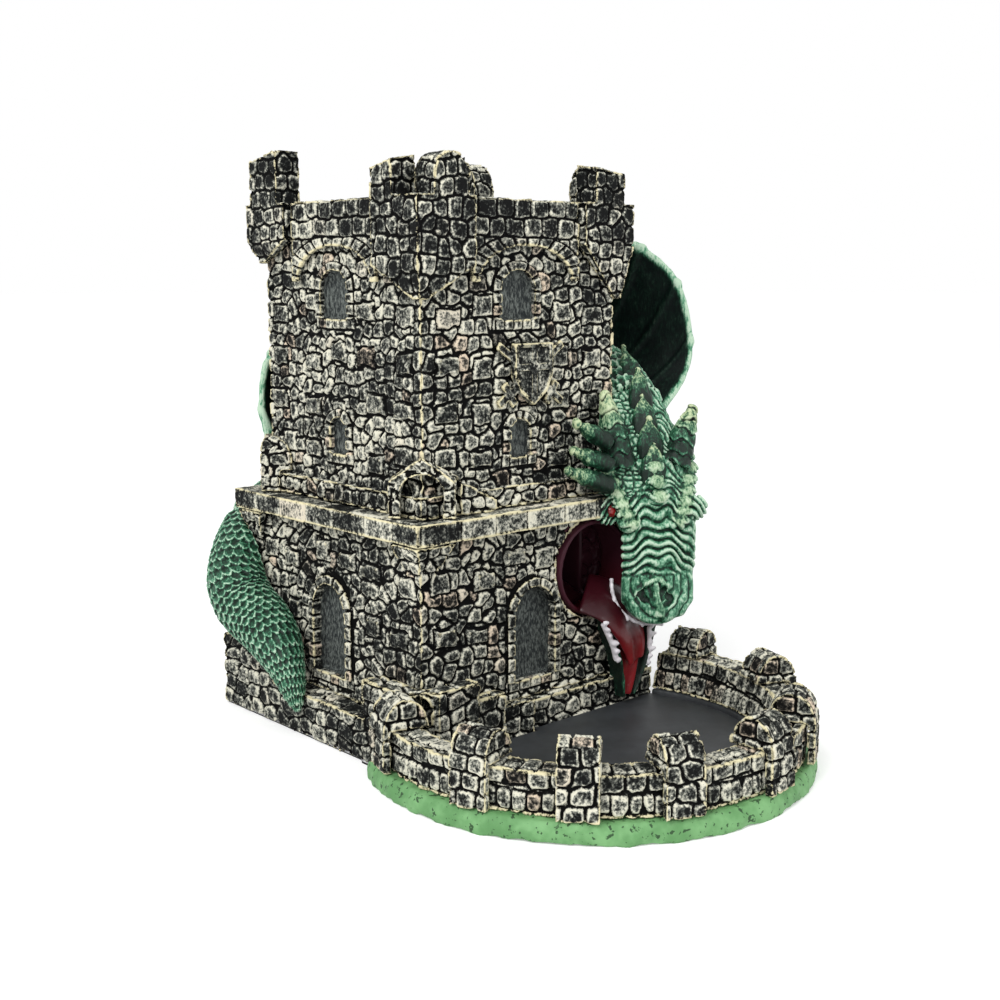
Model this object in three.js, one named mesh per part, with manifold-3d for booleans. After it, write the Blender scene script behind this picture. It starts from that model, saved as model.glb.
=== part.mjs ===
import * as THREE from 'three';
import { mergeVertices } from 'three/addons/utils/BufferGeometryUtils.js';
import Module from 'manifold-3d';

// Stone keep dice tower with a dragon round it and a loose walled tray.
// Millimetres, +Z up. The tower stands on Z = 0 with its axis through the origin,
// the dice fall in at the top and leave through the dragon's mouth towards -Y.

// Driving sizes of the tower: heights are counted from the piece below, widths from the storey
const storeyHalf = 36;
const storeyWall = 6;
const storeyHeight = 73;
const groundReach = 5;
const groundBatter = 1.3;
const groundWall = 9;
const groundHeight = 48.5;
const plinthReach = 6.5;
const plinthTop = 12.5;
const plinthFrontReach = 2;
const ledgeHeight = 6;
const ledgeReach = 8.2;
const crownHeight = 10;
const crownReach = 2;
const crownThickness = 7;
const groundHalf = storeyHalf + groundReach;
const groundBoreHalf = groundHalf - groundWall;
const shoulderHalf = groundHalf - groundBatter;
const plinthHalf = groundHalf + plinthReach;
const plinthFront = groundHalf + plinthFrontReach;
const ledgeHalf = storeyHalf + ledgeReach;
const crownHalf = storeyHalf + crownReach;
const ledgeBottom = plinthTop + groundHeight;
const ledgeTop = ledgeBottom + ledgeHeight;
const crownSeat = ledgeTop + storeyHeight;
const crownTop = crownSeat + crownHeight;

// Gaps between separate castings, and the overrun of every cut
const seatGap = 0.3;
const slideGap = 0.4;
const overrun = 5;

// Corner turrets and their merlons; the deepest turret has the full skirt and taper
const turretReach = 2;
const turretLength = 20;
const turretSkirt = 8;
const turretTaper = 15;
const turretFootReach = 1.5;
const turretFoot = crownSeat - turretSkirt - turretTaper;
const merlonThickness = 8.5;
const merlonRise = 11;
const merlonShoulderShare = 0.45;
const backMerlonExtra = 4;

// Blind arches under the crown
const archJamb = 3;
const archSkirt = 12;
const archRise = 9.5;
const archHalf = crownHalf + turretReach - turretLength - archJamb;
const archSpring = crownSeat - archSkirt;
const archCrown = archSpring + archRise;

// Blind windows and doors: sill under the crown or over what lies below, then jamb and arch
const windowHalf = 6;
const windowDrop = 22;
const windowJamb = 8;
const windowRise = 5;
const slitHalf = 3.5;
const slitSill = 13.5;
const slitJamb = 7;
const slitRise = 3;
const windowOffset = -2;
const slitOffset = -1;
const recessDepth = 2.5;
const doorHalf = 7.5;
const doorSill = 5.5;
const doorJamb = 18;
const doorRise = 8;
const doorRecess = 3;

// Stones that stand proud of the walls, and the frames round windows, slits and doors
const stonePitch = 13;
const stoneLength = 6.6;
const stoneHeight = 4.6;
const stoneProud = 0.4;
const stoneDress = 0.5;
const stoneMargin = 1;
const stoneSpreadShares = [0.618, 0.755, 0.43];
const stoneScatterShare = 0.34;
const stoneSizeShare = 0.3;
const frameWidth = 3;
const doorFrameProud = 0.5;

// Course at the foot of the upper storey, and the corbels under the ledge
const courseReach = 2.5;
const courseHeight = 6;
const corbelLength = 13;
const corbelHeight = 12;
const corbelFootWidth = 3;
const corbelFoot = ledgeBottom - corbelHeight;

// Niches on the corners of the ledge, and the sloping block beside the front one
const nicheHalf = 9;
const nicheHeight = 10;
const nicheRise = 6.5;
const nicheReach = 1.4;
const nicheOpeningHalf = 5.5;
const nicheOpeningSpring = 7;
const nicheOpeningRise = 4.5;
const spurHigh = 10;
const spurLow = 3.5;
const spurSetback = 9;
const spurLength = 13;
const spurReach = 5;
const spurStart = storeyHalf - spurSetback;
const spurEnd = spurStart - spurLength;

// Landing, steps and tail buttress on the base slab
const landingRise = 11;
const landingReach = 0.5;
const landingProud = 4.5;
const landingDepth = 23.5;
const landingLength = 22;
const landingChamfer = 8;
const landingHoleHalf = 3;
const landingHoleSill = 2;
const landingHoleJamb = 4.5;
const landingHoleRise = 3;
const landingHoleDepth = 6;
const upperStepRise = 5.5;
const upperStepLength = 11;
const upperStepProud = 3;
const lowerStepRise = 1;
const lowerStepLength = 12;
const lowerStepProud = 2;
const buttressRise = 9.5;
const buttressLength = 27.5;
const buttressSlope = 8;
const landingFront = plinthFront + landingProud;
const landingBack = landingFront - landingDepth;
const landingSide = plinthHalf + landingReach - landingLength;
const upperStepFront = plinthFront + upperStepProud;
const upperStepEnd = landingSide - upperStepLength;
const lowerStepFront = plinthFront + lowerStepProud;
const lowerStepEnd = upperStepEnd - lowerStepLength;
const buttressStart = plinthHalf - buttressLength;
const buttressEnd = -doorHalf - frameWidth - seatGap;
const landingTop = plinthTop + landingRise;
const buttressTop = plinthTop + buttressRise;

// Mouth opening through the lower wall, and its lining
const mouthEdge = 1.5;
const mouthHalf = 15;
const mouthHalfHeight = 14.5;
const mouthDrop = 15;
const mouthX = groundHalf - mouthHalf - mouthEdge;
const mouthZ = ledgeBottom - mouthDrop;
const liningThickness = 1.5;
const liningInside = 2.5;

// Sloping boards inside
const rampThickness = 3;
const upperRampDrop = 14;
const upperRampFall = 21;
const middleRampRise = 35;
const middleRampFall = 22;
const lowerRampDrop = 4;
const lowerRampFall = 22;
const dropGap = 28;
const middleDropGap = 26;
const guideThickness = 3;
const guideDrop = 3;
const guideStart = 6;
const upperRampHigh = crownTop - upperRampDrop;
const upperRampLow = upperRampHigh - upperRampFall;
const middleRampHigh = ledgeTop + middleRampRise;
const middleRampLow = middleRampHigh - middleRampFall;
const lowerRampHigh = ledgeBottom - lowerRampDrop;
const lowerRampLow = lowerRampHigh - lowerRampFall;
const guideTop = ledgeBottom - guideDrop;

// Relief plaque on the front
const shieldX = 2;
const shieldRise = 36;
const shieldZ = ledgeTop + shieldRise;
const shieldWidth = 14;
const shieldHeight = 17;
const shieldPlate = 1.4;
const shieldRim = 1.2;
const shieldRimHeight = 0.7;
const bladeLength = 29;
const bladeWidth = 2.2;
const bladePlate = 0.9;
const bladeTilt = 34;
const guardLength = 7;
const guardFromEnd = 5;
const crossWidth = 2;

// Tray, turned round its own centre, each radius counted from the one outside it
const trayX = 2;
const trayGap = 17;
const traySideReach = 14;
const bankSlope = 1.5;
const bankRise = 2.5;
const floorTop = 3;
const matThickness = 1.2;
const wallBank = 1.2;
const wallTopThickness = 8.4;
const wallBatter = 3;
const wallHeight = 11;
const trayEndReach = 10;
const merlonOverhang = 2.6;
const merlonInside = 1.9;
const trayMerlonWidth = 10.5;
const trayMerlonRise = 8;
const trayMerlonDrop = 1;
const trayY = plinthFront + trayGap;
const trayGroundRadius = plinthHalf + traySideReach;
const bankTop = floorTop + bankRise;
const bankTopRadius = trayGroundRadius - bankSlope;
const wallOuterRadius = bankTopRadius - wallBank;
const wallTopRadius = wallOuterRadius - wallTopThickness;
const wallFootRadius = wallTopRadius - wallBatter;
const wallTop = bankTop + wallHeight;
const trayLeftEnd = plinthFront - trayEndReach;
const trayMerlonOut = wallOuterRadius + merlonOverhang;
const trayMerlonIn = wallTopRadius - merlonInside;
const trayMerlonAngles = [163, 196.5, 222, 246, 275, 299.5, 335.5, 9];

// Dragon
const dragonReach = 36;
const bodyRadius = 14;
const tailRadius = 9.5;
const headHalfWidth = 15.5;
const headDepth = 22;
const jointGap = 0.1;
const wingThickness = 2.2;
const hornRadius = 5;
const spineRadius = 4.4;
const cheekRadius = 4;
const palateDepth = 6;
const eyeRadius = 2.3;
const toothWidth = 1.3;
const toothHeight = 2.4;
const tongueThickness = 1.6;
const tongueHalfWidth = 9.5;
const jawHalfWidth = 13;

// Roundness
const trayFacets = 72;
const arcSteps = 8;
const bodySides = 14;
const headSides = 20;
const fullness = 0.7;
const hornSides = 8;
const weld = 0.0001;

const degree = Math.PI / 180;
const quarterTurn = Math.PI / 2;

const wasm = await Module();
wasm.setup();

function toSolid(geometry) {
  const bare = geometry.clone();
  bare.deleteAttribute('normal');
  bare.deleteAttribute('uv');
  const merged = mergeVertices(bare, weld);
  return new wasm.Manifold(new wasm.Mesh({
    numProp: 3,
    vertProperties: new Float32Array(merged.attributes.position.array),
    triVerts: new Uint32Array(merged.index.array),
  }));
}

function toGeometry(solid) {
  const mesh = solid.getMesh();
  const geometry = new THREE.BufferGeometry();
  geometry.setAttribute('position', new THREE.BufferAttribute(mesh.vertProperties, 3));
  geometry.setIndex(new THREE.BufferAttribute(mesh.triVerts, 1));
  geometry.computeVertexNormals();
  return geometry;
}

function join(...geometries) {
  return toGeometry(geometries.map(toSolid).reduce((whole, next) => whole.add(next)));
}

function cut(geometry, ...cutters) {
  return toGeometry(cutters.map(toSolid).reduce((rest, next) => rest.subtract(next), toSolid(geometry)));
}

// The largest separate body, for a form that a cut leaves in several
function largestBody(geometry) {
  const bodies = toSolid(geometry).decompose();
  return toGeometry(bodies.reduce((best, next) => (next.volume() > best.volume() ? next : best)));
}

// Straight-edged block between two corners
function block(low, high) {
  const size = high.map((value, axis) => value - low[axis]);
  const geometry = new THREE.BoxGeometry(...size);
  geometry.translate(...high.map((value, axis) => (value + low[axis]) / 2));
  return geometry;
}

function squareBlock(half, bottom, top) {
  return block([-half, -half, bottom], [half, half, top]);
}

// Upright prism from an outline of [x, y] points
function prism(outline, bottom, top) {
  const shape = new THREE.Shape(outline.map(([x, y]) => new THREE.Vector2(x, y)));
  const geometry = new THREE.ExtrudeGeometry(shape, { depth: top - bottom, bevelEnabled: false });
  geometry.translate(0, 0, bottom);
  return geometry;
}

// A shape drawn in X and Z, standing between two values of Y
function standing(shape, front, back, steps = arcSteps) {
  const geometry = new THREE.ExtrudeGeometry(shape, {
    depth: back - front, bevelEnabled: false, curveSegments: steps,
  });
  geometry.rotateX(quarterTurn);
  geometry.translate(0, back, 0);
  return geometry;
}

// A shape drawn in Y and Z, running between two values of X
function crossing(outline, left, right) {
  const shape = new THREE.Shape(outline.map(([y, z]) => new THREE.Vector2(y, z)));
  const geometry = new THREE.ExtrudeGeometry(shape, { depth: right - left, bevelEnabled: false });
  geometry.rotateX(quarterTurn);
  geometry.rotateZ(quarterTurn);
  geometry.translate(left, 0, 0);
  return geometry;
}

function archShape(centre, half, bottom, spring, top) {
  const shape = new THREE.Shape();
  shape.moveTo(centre - half, bottom);
  shape.lineTo(centre + half, bottom);
  shape.lineTo(centre + half, spring);
  shape.absellipse(centre, spring, half, top - spring, 0, Math.PI, false, 0);
  shape.closePath();
  return shape;
}

// Arched opening given by its sill's level, its jambs and the rise of its arch
function archedOpening(centre, half, sill, jamb, rise) {
  return archShape(centre, half, sill, sill + jamb, sill + jamb + rise);
}

// Turns a form made for the front face to another face, clockwise from above
function onFace(geometry, turns) {
  const turned = geometry.clone();
  turned.rotateZ(-turns * quarterTurn);
  return turned;
}

// Closed skin through rings of equal length, each ring a loop of points
function loft(rings) {
  const count = rings[0].length;
  const positions = rings.flat().flatMap((point) => [point.x, point.y, point.z]);
  const index = [];
  for (let ring = 0; ring < rings.length - 1; ring += 1) {
    for (let side = 0; side < count; side += 1) {
      const a = ring * count + side;
      const b = ring * count + ((side + 1) % count);
      index.push(a, b, b + count, a, b + count, a + count);
    }
  }
  const capFaces = (ring, flip) => {
    const base = ring * count;
    for (const face of capTriangles(rings[ring])) {
      const [a, b, c] = face.map((corner) => base + corner);
      index.push(...(flip ? [a, c, b] : [a, b, c]));
    }
  };
  capFaces(0, true);
  capFaces(rings.length - 1, false);
  const geometry = new THREE.BufferGeometry();
  geometry.setAttribute('position', new THREE.Float32BufferAttribute(positions, 3));
  geometry.setIndex(index);
  return facesOut(geometry);
}

// Triangles of a flat loop, in the order of its points
function capTriangles(ring) {
  const normal = new THREE.Vector3();
  ring.forEach((point, place) => {
    const next = ring[(place + 1) % ring.length];
    normal.add(new THREE.Vector3().crossVectors(point, next));
  });
  normal.normalize();
  const across = new THREE.Vector3().subVectors(ring[1], ring[0]).normalize();
  const along = new THREE.Vector3().crossVectors(normal, across);
  const flat = ring.map((point) => new THREE.Vector2(point.dot(across), point.dot(along)));
  return THREE.ShapeUtils.triangulateShape(flat, []);
}

function facesOut(geometry) {
  const position = geometry.attributes.position;
  const index = geometry.index.array;
  const [a, b, c] = [new THREE.Vector3(), new THREE.Vector3(), new THREE.Vector3()];
  let volume = 0;
  for (let face = 0; face < index.length; face += 3) {
    a.fromBufferAttribute(position, index[face]);
    b.fromBufferAttribute(position, index[face + 1]);
    c.fromBufferAttribute(position, index[face + 2]);
    volume += a.dot(b.clone().cross(c));
  }
  if (volume < 0) {
    for (let face = 0; face < index.length; face += 3) {
      [index[face + 1], index[face + 2]] = [index[face + 2], index[face + 1]];
    }
  }
  geometry.computeVertexNormals();
  return geometry;
}

// A share of the storey's half width, and past the wall a share of the dragon's own reach
function beside(share) {
  const past = Math.abs(share) - 1;
  return past > 0 ? Math.sign(share) * (storeyHalf + past * dragonReach) : share * storeyHalf;
}

// A place given as such shares across and deep, and as a share of the crown's height
function place([across, deep, high]) {
  return new THREE.Vector3(beside(across), beside(deep), high * crownTop);
}

function mix(values, share) {
  const spot = share * (values.length - 1);
  const lower = Math.min(Math.floor(spot), values.length - 2);
  const rest = spot - lower;
  return values[lower] * (1 - rest) + values[lower + 1] * rest;
}

// Round limb along a smooth path, with a radius that follows the shares given
function limb(pathShares, radiusShares, radius, rings, sides, grow = 0) {
  const curve = new THREE.CatmullRomCurve3(pathShares.map(place));
  const loops = [];
  for (let ring = 0; ring <= rings; ring += 1) {
    const share = ring / rings;
    const centre = curve.getPoint(share);
    const ahead = curve.getTangent(share);
    const side = new THREE.Vector3(0, 0, 1).cross(ahead).normalize();
    const up = new THREE.Vector3().crossVectors(ahead, side);
    const reach = radius * mix(radiusShares, share) + grow;
    loops.push(circleLoop(centre, side, up, reach, reach, sides));
  }
  return loft(loops);
}

function circleLoop(centre, side, up, halfWidth, halfHeight, sides) {
  return Array.from({ length: sides }, (_, corner) => {
    const angle = (corner / sides) * 2 * Math.PI;
    return centre.clone()
      .addScaledVector(side, halfWidth * Math.cos(angle))
      .addScaledVector(up, halfHeight * Math.sin(angle));
  });
}

function finish(colour, roughness, metalness = 0) {
  return new THREE.MeshStandardMaterial({ color: colour, roughness, metalness });
}

const stoneFinish = finish(0x6b6a5f, 0.8);
const paleStoneFinish = finish(0x8b8a7c, 0.8);
const slateFinish = finish(0x3a3d42, 0.75);
const boneFinish = finish(0xa9a48c, 0.75);
const boardFinish = finish(0x1c1c1e, 0.8);
const throatFinish = finish(0x3c0a12, 0.35);
const tongueFinish = finish(0xa8141c, 0.3);
const scaleFinish = finish(0x2c7a4c, 0.6);
const paleScaleFinish = finish(0x9fc79a, 0.65);
const toothFinish = finish(0xd8d4d0, 0.5);
const eyeFinish = finish(0xc02020, 0.25);
const grassFinish = finish(0x86d08a, 0.7);
const matFinish = finish(0x232427, 0.7);

function part(parent, name, geometry, material) {
  const mesh = new THREE.Mesh(geometry, material);
  mesh.name = name;
  parent.add(mesh);
  return mesh;
}

const group = new THREE.Group();

// Base slab with the landing, the steps and the tail buttress in one casting
function plinthGeometry() {
  const side = plinthHalf + landingReach;
  const chamferSum = side + landingFront - landingChamfer;
  const slab = prism([
    [-plinthHalf, plinthHalf],
    [-plinthHalf, plinthHalf - chamferSum],
    [plinthFront - chamferSum, -plinthFront],
    [plinthHalf, -plinthFront],
    [plinthHalf, plinthHalf],
  ], 0, plinthTop);
  const landing = prism([
    [-side, -landingBack],
    [-side, -landingFront + landingChamfer],
    [-side + landingChamfer, -landingFront],
    [-landingSide, -landingFront],
    [-landingSide, -landingBack],
  ], 0, landingTop);
  const stepBlock = (left, right, front, top) => block([-left, -front, 0], [-right, 0, top]);
  const upperStep = stepBlock(landingSide, upperStepEnd, upperStepFront, plinthTop + upperStepRise);
  const lowerStep = stepBlock(upperStepEnd, lowerStepEnd, lowerStepFront, plinthTop + lowerStepRise);
  const buttress = crossing([
    [buttressStart, 0],
    [plinthHalf, 0],
    [plinthHalf, buttressTop],
    [buttressStart + buttressSlope, buttressTop],
    [buttressStart, plinthTop],
  ], -plinthHalf, buttressEnd);
  const room = squareBlock(groundHalf + seatGap, plinthTop, landingTop + overrun);
  return cut(join(slab, landing, upperStep, lowerStep, buttress), room, landingHole());
}

// Small arched hole in the chamfered corner of the landing
function landingHole() {
  const sill = plinthTop + landingHoleSill;
  const shape = archedOpening(0, landingHoleHalf, sill, landingHoleJamb, landingHoleRise);
  const middle = (plinthHalf + landingReach + landingFront - landingChamfer) / Math.SQRT2;
  const hole = standing(shape, -middle - overrun, -middle + landingHoleDepth);
  hole.rotateZ(-quarterTurn / 2);
  return hole;
}

function corbel(turns, grow = 0) {
  const half = ledgeHalf - seatGap + grow;
  const inner = half - corbelLength - 2 * grow;
  const footOut = shoulderHalf + grow;
  const footIn = footOut - corbelFootWidth - 2 * grow;
  const loop = (low, high, level) => [
    new THREE.Vector3(-low, -low, level), new THREE.Vector3(-high, -low, level),
    new THREE.Vector3(-high, -high, level), new THREE.Vector3(-low, -high, level),
  ];
  return onFace(loft([loop(footIn, footOut, corbelFoot), loop(inner, half, ledgeBottom)]), turns);
}

function mouthShape(shrink) {
  const shape = new THREE.Shape();
  shape.absellipse(mouthX, mouthZ, mouthHalf - shrink, mouthHalfHeight - shrink, 0, 2 * Math.PI);
  return shape;
}

// Faces round the tower, clockwise from above: 0 front, 1 left, 2 back, 3 right.
// The front right corner has no corbel: the dragon's head takes its place.
function lowerStoreyGeometry() {
  const square = (half, level) => [
    new THREE.Vector3(-half, -half, level), new THREE.Vector3(half, -half, level),
    new THREE.Vector3(half, half, level), new THREE.Vector3(-half, half, level),
  ];
  const walls = loft([square(groundHalf, plinthTop), square(shoulderHalf, ledgeBottom)]);
  const corbels = [0, 1, 2].map((turns) => corbel(turns));
  const bore = squareBlock(groundBoreHalf, plinthTop - overrun, ledgeBottom + overrun);
  const door = (grow, front, back) => standing(
    archedOpening(0, doorHalf + grow, plinthTop + doorSill, doorJamb, doorRise + grow),
    front,
    back,
  );
  const frame = door(frameWidth, -groundHalf - doorFrameProud, -shoulderHalf + doorRecess);
  const hollow = door(0, -groundHalf - overrun, -shoulderHalf + doorRecess);
  const onDoorFaces = (form) => [0, 1, 2].map((turns) => onFace(form, turns));
  const mouth = standing(mouthShape(0), -groundHalf - overrun, -groundBoreHalf + overrun, 4 * arcSteps);
  return cut(
    join(walls, ...corbels, ...onDoorFaces(frame), ...groundStones()),
    bore,
    ...onDoorFaces(hollow),
    mouth,
  );
}

// Half width of the battered lower walls at a level
function groundHalfAt(level) {
  return mix([groundHalf, shoulderHalf], (level - plinthTop) / groundHeight);
}

// Proud stones of the lower walls, clear of doors, corbels, mouth and everything on the slab
function groundStones() {
  const doorTop = plinthTop + doorSill + doorJamb + doorRise + frameWidth;
  const door = [-doorHalf - frameWidth, doorHalf + frameWidth, plinthTop, doorTop];
  const cornerStart = ledgeHalf - corbelLength;
  const corners = [-1, 1].map((side) => (
    ordered(side * cornerStart, side * ledgeHalf, corbelFoot, ledgeBottom)
  ));
  const mouth = [mouthX - mouthHalf - mouthEdge, groundHalf, plinthTop, ledgeBottom];
  return [[door, mouth], [door], [door], []].flatMap((taken, turns) => wallStones(
    turns,
    groundHalfAt,
    [shoulderHalf, landingTop, ledgeBottom],
    [...taken, ...corners],
  ));
}

function ordered(left, right, low, high) {
  return [Math.min(left, right), Math.max(left, right), low, high];
}

// Stones in loose rows on one face, left out where they would touch what is already there
function wallStones(turns, halfAt, [half, bottom, top], taken) {
  const columns = Math.floor((2 * half) / stonePitch);
  const rows = Math.floor((top - bottom) / stonePitch);
  const wide = (2 * half - 2 * stoneMargin) / columns;
  const tall = (top - bottom - 2 * stoneMargin) / rows;
  const stones = [];
  for (let row = 0; row < rows; row += 1) {
    for (let column = 0; column < columns; column += 1) {
      const count = (turns * rows + row) * columns + column + 1;
      const [aside, above, longer] = stoneSpreadShares.map((share) => ((count * share) % 1) - 1 / 2);
      const length = stoneLength * (1 + stoneSizeShare * longer);
      const height = stoneHeight * (1 - stoneSizeShare * longer);
      const across = -half + stoneMargin + wide * (column + 1 / 2 + stoneScatterShare * aside);
      const level = bottom + stoneMargin + tall * (row + 1 / 2 + stoneScatterShare * above);
      const reach = [
        across - length / 2 - stoneMargin,
        across + length / 2 + stoneMargin,
        level - height / 2 - stoneMargin,
        level + height / 2 + stoneMargin,
      ];
      if (!taken.some((area) => meet(area, reach))) {
        stones.push(onFace(stoneGeometry(halfAt(level), across, level, length, height), turns));
      }
    }
  }
  return stones;
}

// Whether two areas of a face overlap, each given as left, right, low and high
function meet([left, right, low, high], [otherLeft, otherRight, otherLow, otherHigh]) {
  return left < otherRight && otherLeft < right && low < otherHigh && otherLow < high;
}

// One proud stone of the front face, narrower at its dressed front
function stoneGeometry(half, across, level, length, height) {
  const loop = (deep, dress) => [[-1, -1], [1, -1], [1, 1], [-1, 1]].map(([side, up]) => new THREE.Vector3(
    across + side * (length / 2 - dress),
    deep,
    level + up * (height / 2 - dress),
  ));
  return loft([loop(-half + stoneProud, -stoneDress), loop(-half - stoneProud, stoneDress)]);
}

function ledgeGeometry() {
  const ring = squareBlock(ledgeHalf, ledgeBottom, ledgeTop);
  const bore = squareBlock(storeyHalf - storeyWall, ledgeBottom - overrun, ledgeTop + overrun);
  return cut(ring, bore);
}

function upperStoreyGeometry() {
  const walls = squareBlock(storeyHalf, ledgeTop, crownSeat);
  const course = squareBlock(storeyHalf + courseReach, ledgeTop, ledgeTop + courseHeight);
  const bore = squareBlock(storeyHalf - storeyWall, ledgeTop - overrun, crownSeat + overrun);
  const back = -storeyHalf + recessDepth;
  const window = (grow, front) => standing(
    archedOpening(windowOffset, windowHalf + grow, crownSeat - windowDrop, windowJamb, windowRise + grow),
    front,
    back,
  );
  const slit = (grow, front) => standing(
    archedOpening(slitOffset, slitHalf + grow, ledgeTop + slitSill, slitJamb, slitRise + grow),
    front,
    back,
  );
  const onFaces = (...forms) => [0, 1, 2, 3].flatMap((turns) => forms.map((form) => onFace(form, turns)));
  const frameFront = -storeyHalf - stoneProud;
  const frames = onFaces(window(frameWidth, frameFront), slit(frameWidth, frameFront));
  const openings = onFaces(window(0, -storeyHalf - overrun), slit(0, -storeyHalf - overrun));
  const seat = block(
    [shieldX - bladeLength / 2, -storeyHalf - spurReach, shieldZ - shieldHeight / 2 - stoneMargin],
    [shieldX + bladeLength / 2, -storeyHalf, shieldZ + shieldHeight / 2 + stoneMargin],
  );
  const proud = cut(join(course, ...frames, ...storeyStones()), seat);
  return cut(join(walls, spurGeometry(), proud), bore, ...openings);
}

// Proud stones of the upper walls, clear of openings, crown, turrets, niches, spur and plaque
function storeyStones() {
  const frameHalf = windowHalf + frameWidth;
  const slitFrame = slitHalf + frameWidth;
  const slitLow = ledgeTop + slitSill;
  const nicheStart = storeyHalf - (nicheHalf + nicheReach) * Math.SQRT2;
  const nicheTop = ledgeTop + nicheHeight + nicheRise;
  const turretStart = crownHalf + turretReach - turretLength;
  const taken = [
    [windowOffset - frameHalf, windowOffset + frameHalf, crownSeat - windowDrop, crownSeat],
    [slitOffset - slitFrame, slitOffset + slitFrame, slitLow, slitLow + slitJamb + slitRise + frameWidth],
    ...[-1, 1].map((side) => ordered(side * nicheStart, side * storeyHalf, ledgeTop, nicheTop)),
    ...[-1, 1].map((side) => ordered(side * turretStart, side * storeyHalf, turretFoot, crownSeat)),
  ];
  const plaque = [
    shieldX - bladeLength / 2,
    shieldX + bladeLength / 2,
    shieldZ - bladeLength / 2,
    shieldZ + bladeLength / 2,
  ];
  const spur = [-spurStart, -spurEnd, ledgeTop, ledgeTop + spurHigh];
  return [[plaque, spur], [], [], []].flatMap((more, turns) => wallStones(
    turns,
    () => storeyHalf,
    [storeyHalf, ledgeTop + courseHeight, archSpring],
    [...taken, ...more],
  ));
}

// Sloping block on the ledge, against the front wall
function spurGeometry(grow = 0) {
  const left = -spurStart - grow;
  const right = -spurEnd + grow;
  const outline = new THREE.Shape([
    new THREE.Vector2(left, ledgeTop),
    new THREE.Vector2(right, ledgeTop),
    new THREE.Vector2(right, ledgeTop + spurLow + grow),
    new THREE.Vector2(left, ledgeTop + spurHigh + grow),
  ]);
  return standing(outline, -storeyHalf - spurReach - grow, -storeyHalf + seatGap);
}

// Crown wall over a blind arch, between two turrets, made for the front face
function parapetGeometry() {
  const half = crownHalf + turretReach - turretLength - seatGap;
  const panel = block([-half, -crownHalf, archSpring], [half, -crownHalf + crownThickness, crownTop]);
  const storey = squareBlock(storeyHalf + seatGap, archSpring - overrun, crownSeat);
  const arch = standing(
    archShape(0, archHalf, archSpring - overrun, archSpring, archCrown),
    -crownHalf - overrun,
    -storeyHalf,
  );
  return cut(panel, storey, arch);
}

// Corner turret with a merlon on each arm and a low corner, made for +X +Y
function turretGeometry([skirtShare, taperShare], [alongX, alongY], extra) {
  const outer = crownHalf + turretReach;
  const inner = outer - turretLength;
  const waist = crownSeat - turretSkirt * skirtShare;
  const footLevel = waist - turretTaper * taperShare;
  const core = block([inner, inner, waist], [outer, outer, crownTop]);
  const foot = storeyHalf + turretFootReach;
  const corbelCore = loft([
    squareLoop(storeyHalf - turretFootReach, foot, footLevel),
    squareLoop(inner, outer, waist),
  ]);
  const first = merlonGeometry(alongX, extra);
  const second = merlonGeometry(alongY, extra);
  second.scale(-1, 1, 1);
  second.rotateZ(-quarterTurn);
  const storey = squareBlock(storeyHalf + seatGap, turretFoot - overrun, crownSeat);
  const bore = squareBlock(crownHalf - crownThickness, crownSeat, crownTop + crownHalf);
  return cut(join(core, corbelCore, facesOut(first), facesOut(second)), storey, bore);
}

function squareLoop(low, high, level) {
  return [[low, low], [high, low], [high, high], [low, high]].map(
    ([x, y]) => new THREE.Vector3(x, y, level),
  );
}

// Merlon along the +Y wall: a round-topped one, or one whose four top corners have their own height.
// Shares: start from the turret's corner, length, then the heights far out, near out, near in, far in
function merlonGeometry([start, length, ...tops], extra) {
  const outer = crownHalf + turretReach;
  const near = outer - start * turretLength;
  const far = near - length * turretLength;
  const rise = merlonRise + extra;
  const back = outer - merlonThickness;
  if (tops.length === 0) {
    const shape = archShape(
      (near + far) / 2,
      (near - far) / 2,
      crownTop - seatGap,
      crownTop + rise * merlonShoulderShare,
      crownTop + rise,
    );
    return indexed(standing(shape, back, outer));
  }
  const corners = [[far, outer], [near, outer], [near, back], [far, back]];
  return loft([
    corners.map(([x, y]) => new THREE.Vector3(x, y, crownTop - seatGap)),
    corners.map(([x, y], corner) => new THREE.Vector3(x, y, crownTop + rise * tops[corner])),
  ]);
}

// Closed body of a niche across a corner of the ledge, made for the -Y corner of a turned square
function nicheBody(pointed, grow = 0) {
  const face = -storeyHalf * Math.SQRT2 - nicheReach;
  const half = nicheHalf + grow;
  const shoulder = ledgeTop + nicheHeight + grow;
  const roof = new THREE.Shape();
  roof.moveTo(-half, ledgeTop);
  roof.lineTo(half, ledgeTop);
  roof.lineTo(half, shoulder);
  if (pointed) roof.lineTo(0, shoulder + nicheRise);
  else roof.absellipse(0, shoulder, half, nicheRise, 0, Math.PI, false, 0);
  roof.lineTo(-half, shoulder);
  return standing(roof, face - grow, face + nicheHalf + nicheReach);
}

function nicheGeometry(turns, pointed) {
  const corner = storeyHalf * Math.SQRT2;
  const opening = archShape(
    0,
    nicheOpeningHalf,
    ledgeTop - overrun,
    ledgeTop + nicheOpeningSpring,
    ledgeTop + nicheOpeningSpring + nicheOpeningRise,
  );
  const hollow = standing(opening, -corner - nicheReach - overrun, 0);
  const tower = squareBlock(storeyHalf + seatGap, ledgeTop - overrun, crownSeat);
  const courseHalf = storeyHalf + courseReach + seatGap;
  const course = squareBlock(courseHalf, ledgeTop - overrun, ledgeTop + courseHeight + seatGap);
  const spur = spurGeometry(seatGap);
  [tower, course, spur].forEach((form) => form.rotateZ((turns + 1 / 2) * quarterTurn));
  return largestBody(cut(nicheBody(pointed), hollow, tower, course, spur));
}

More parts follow.
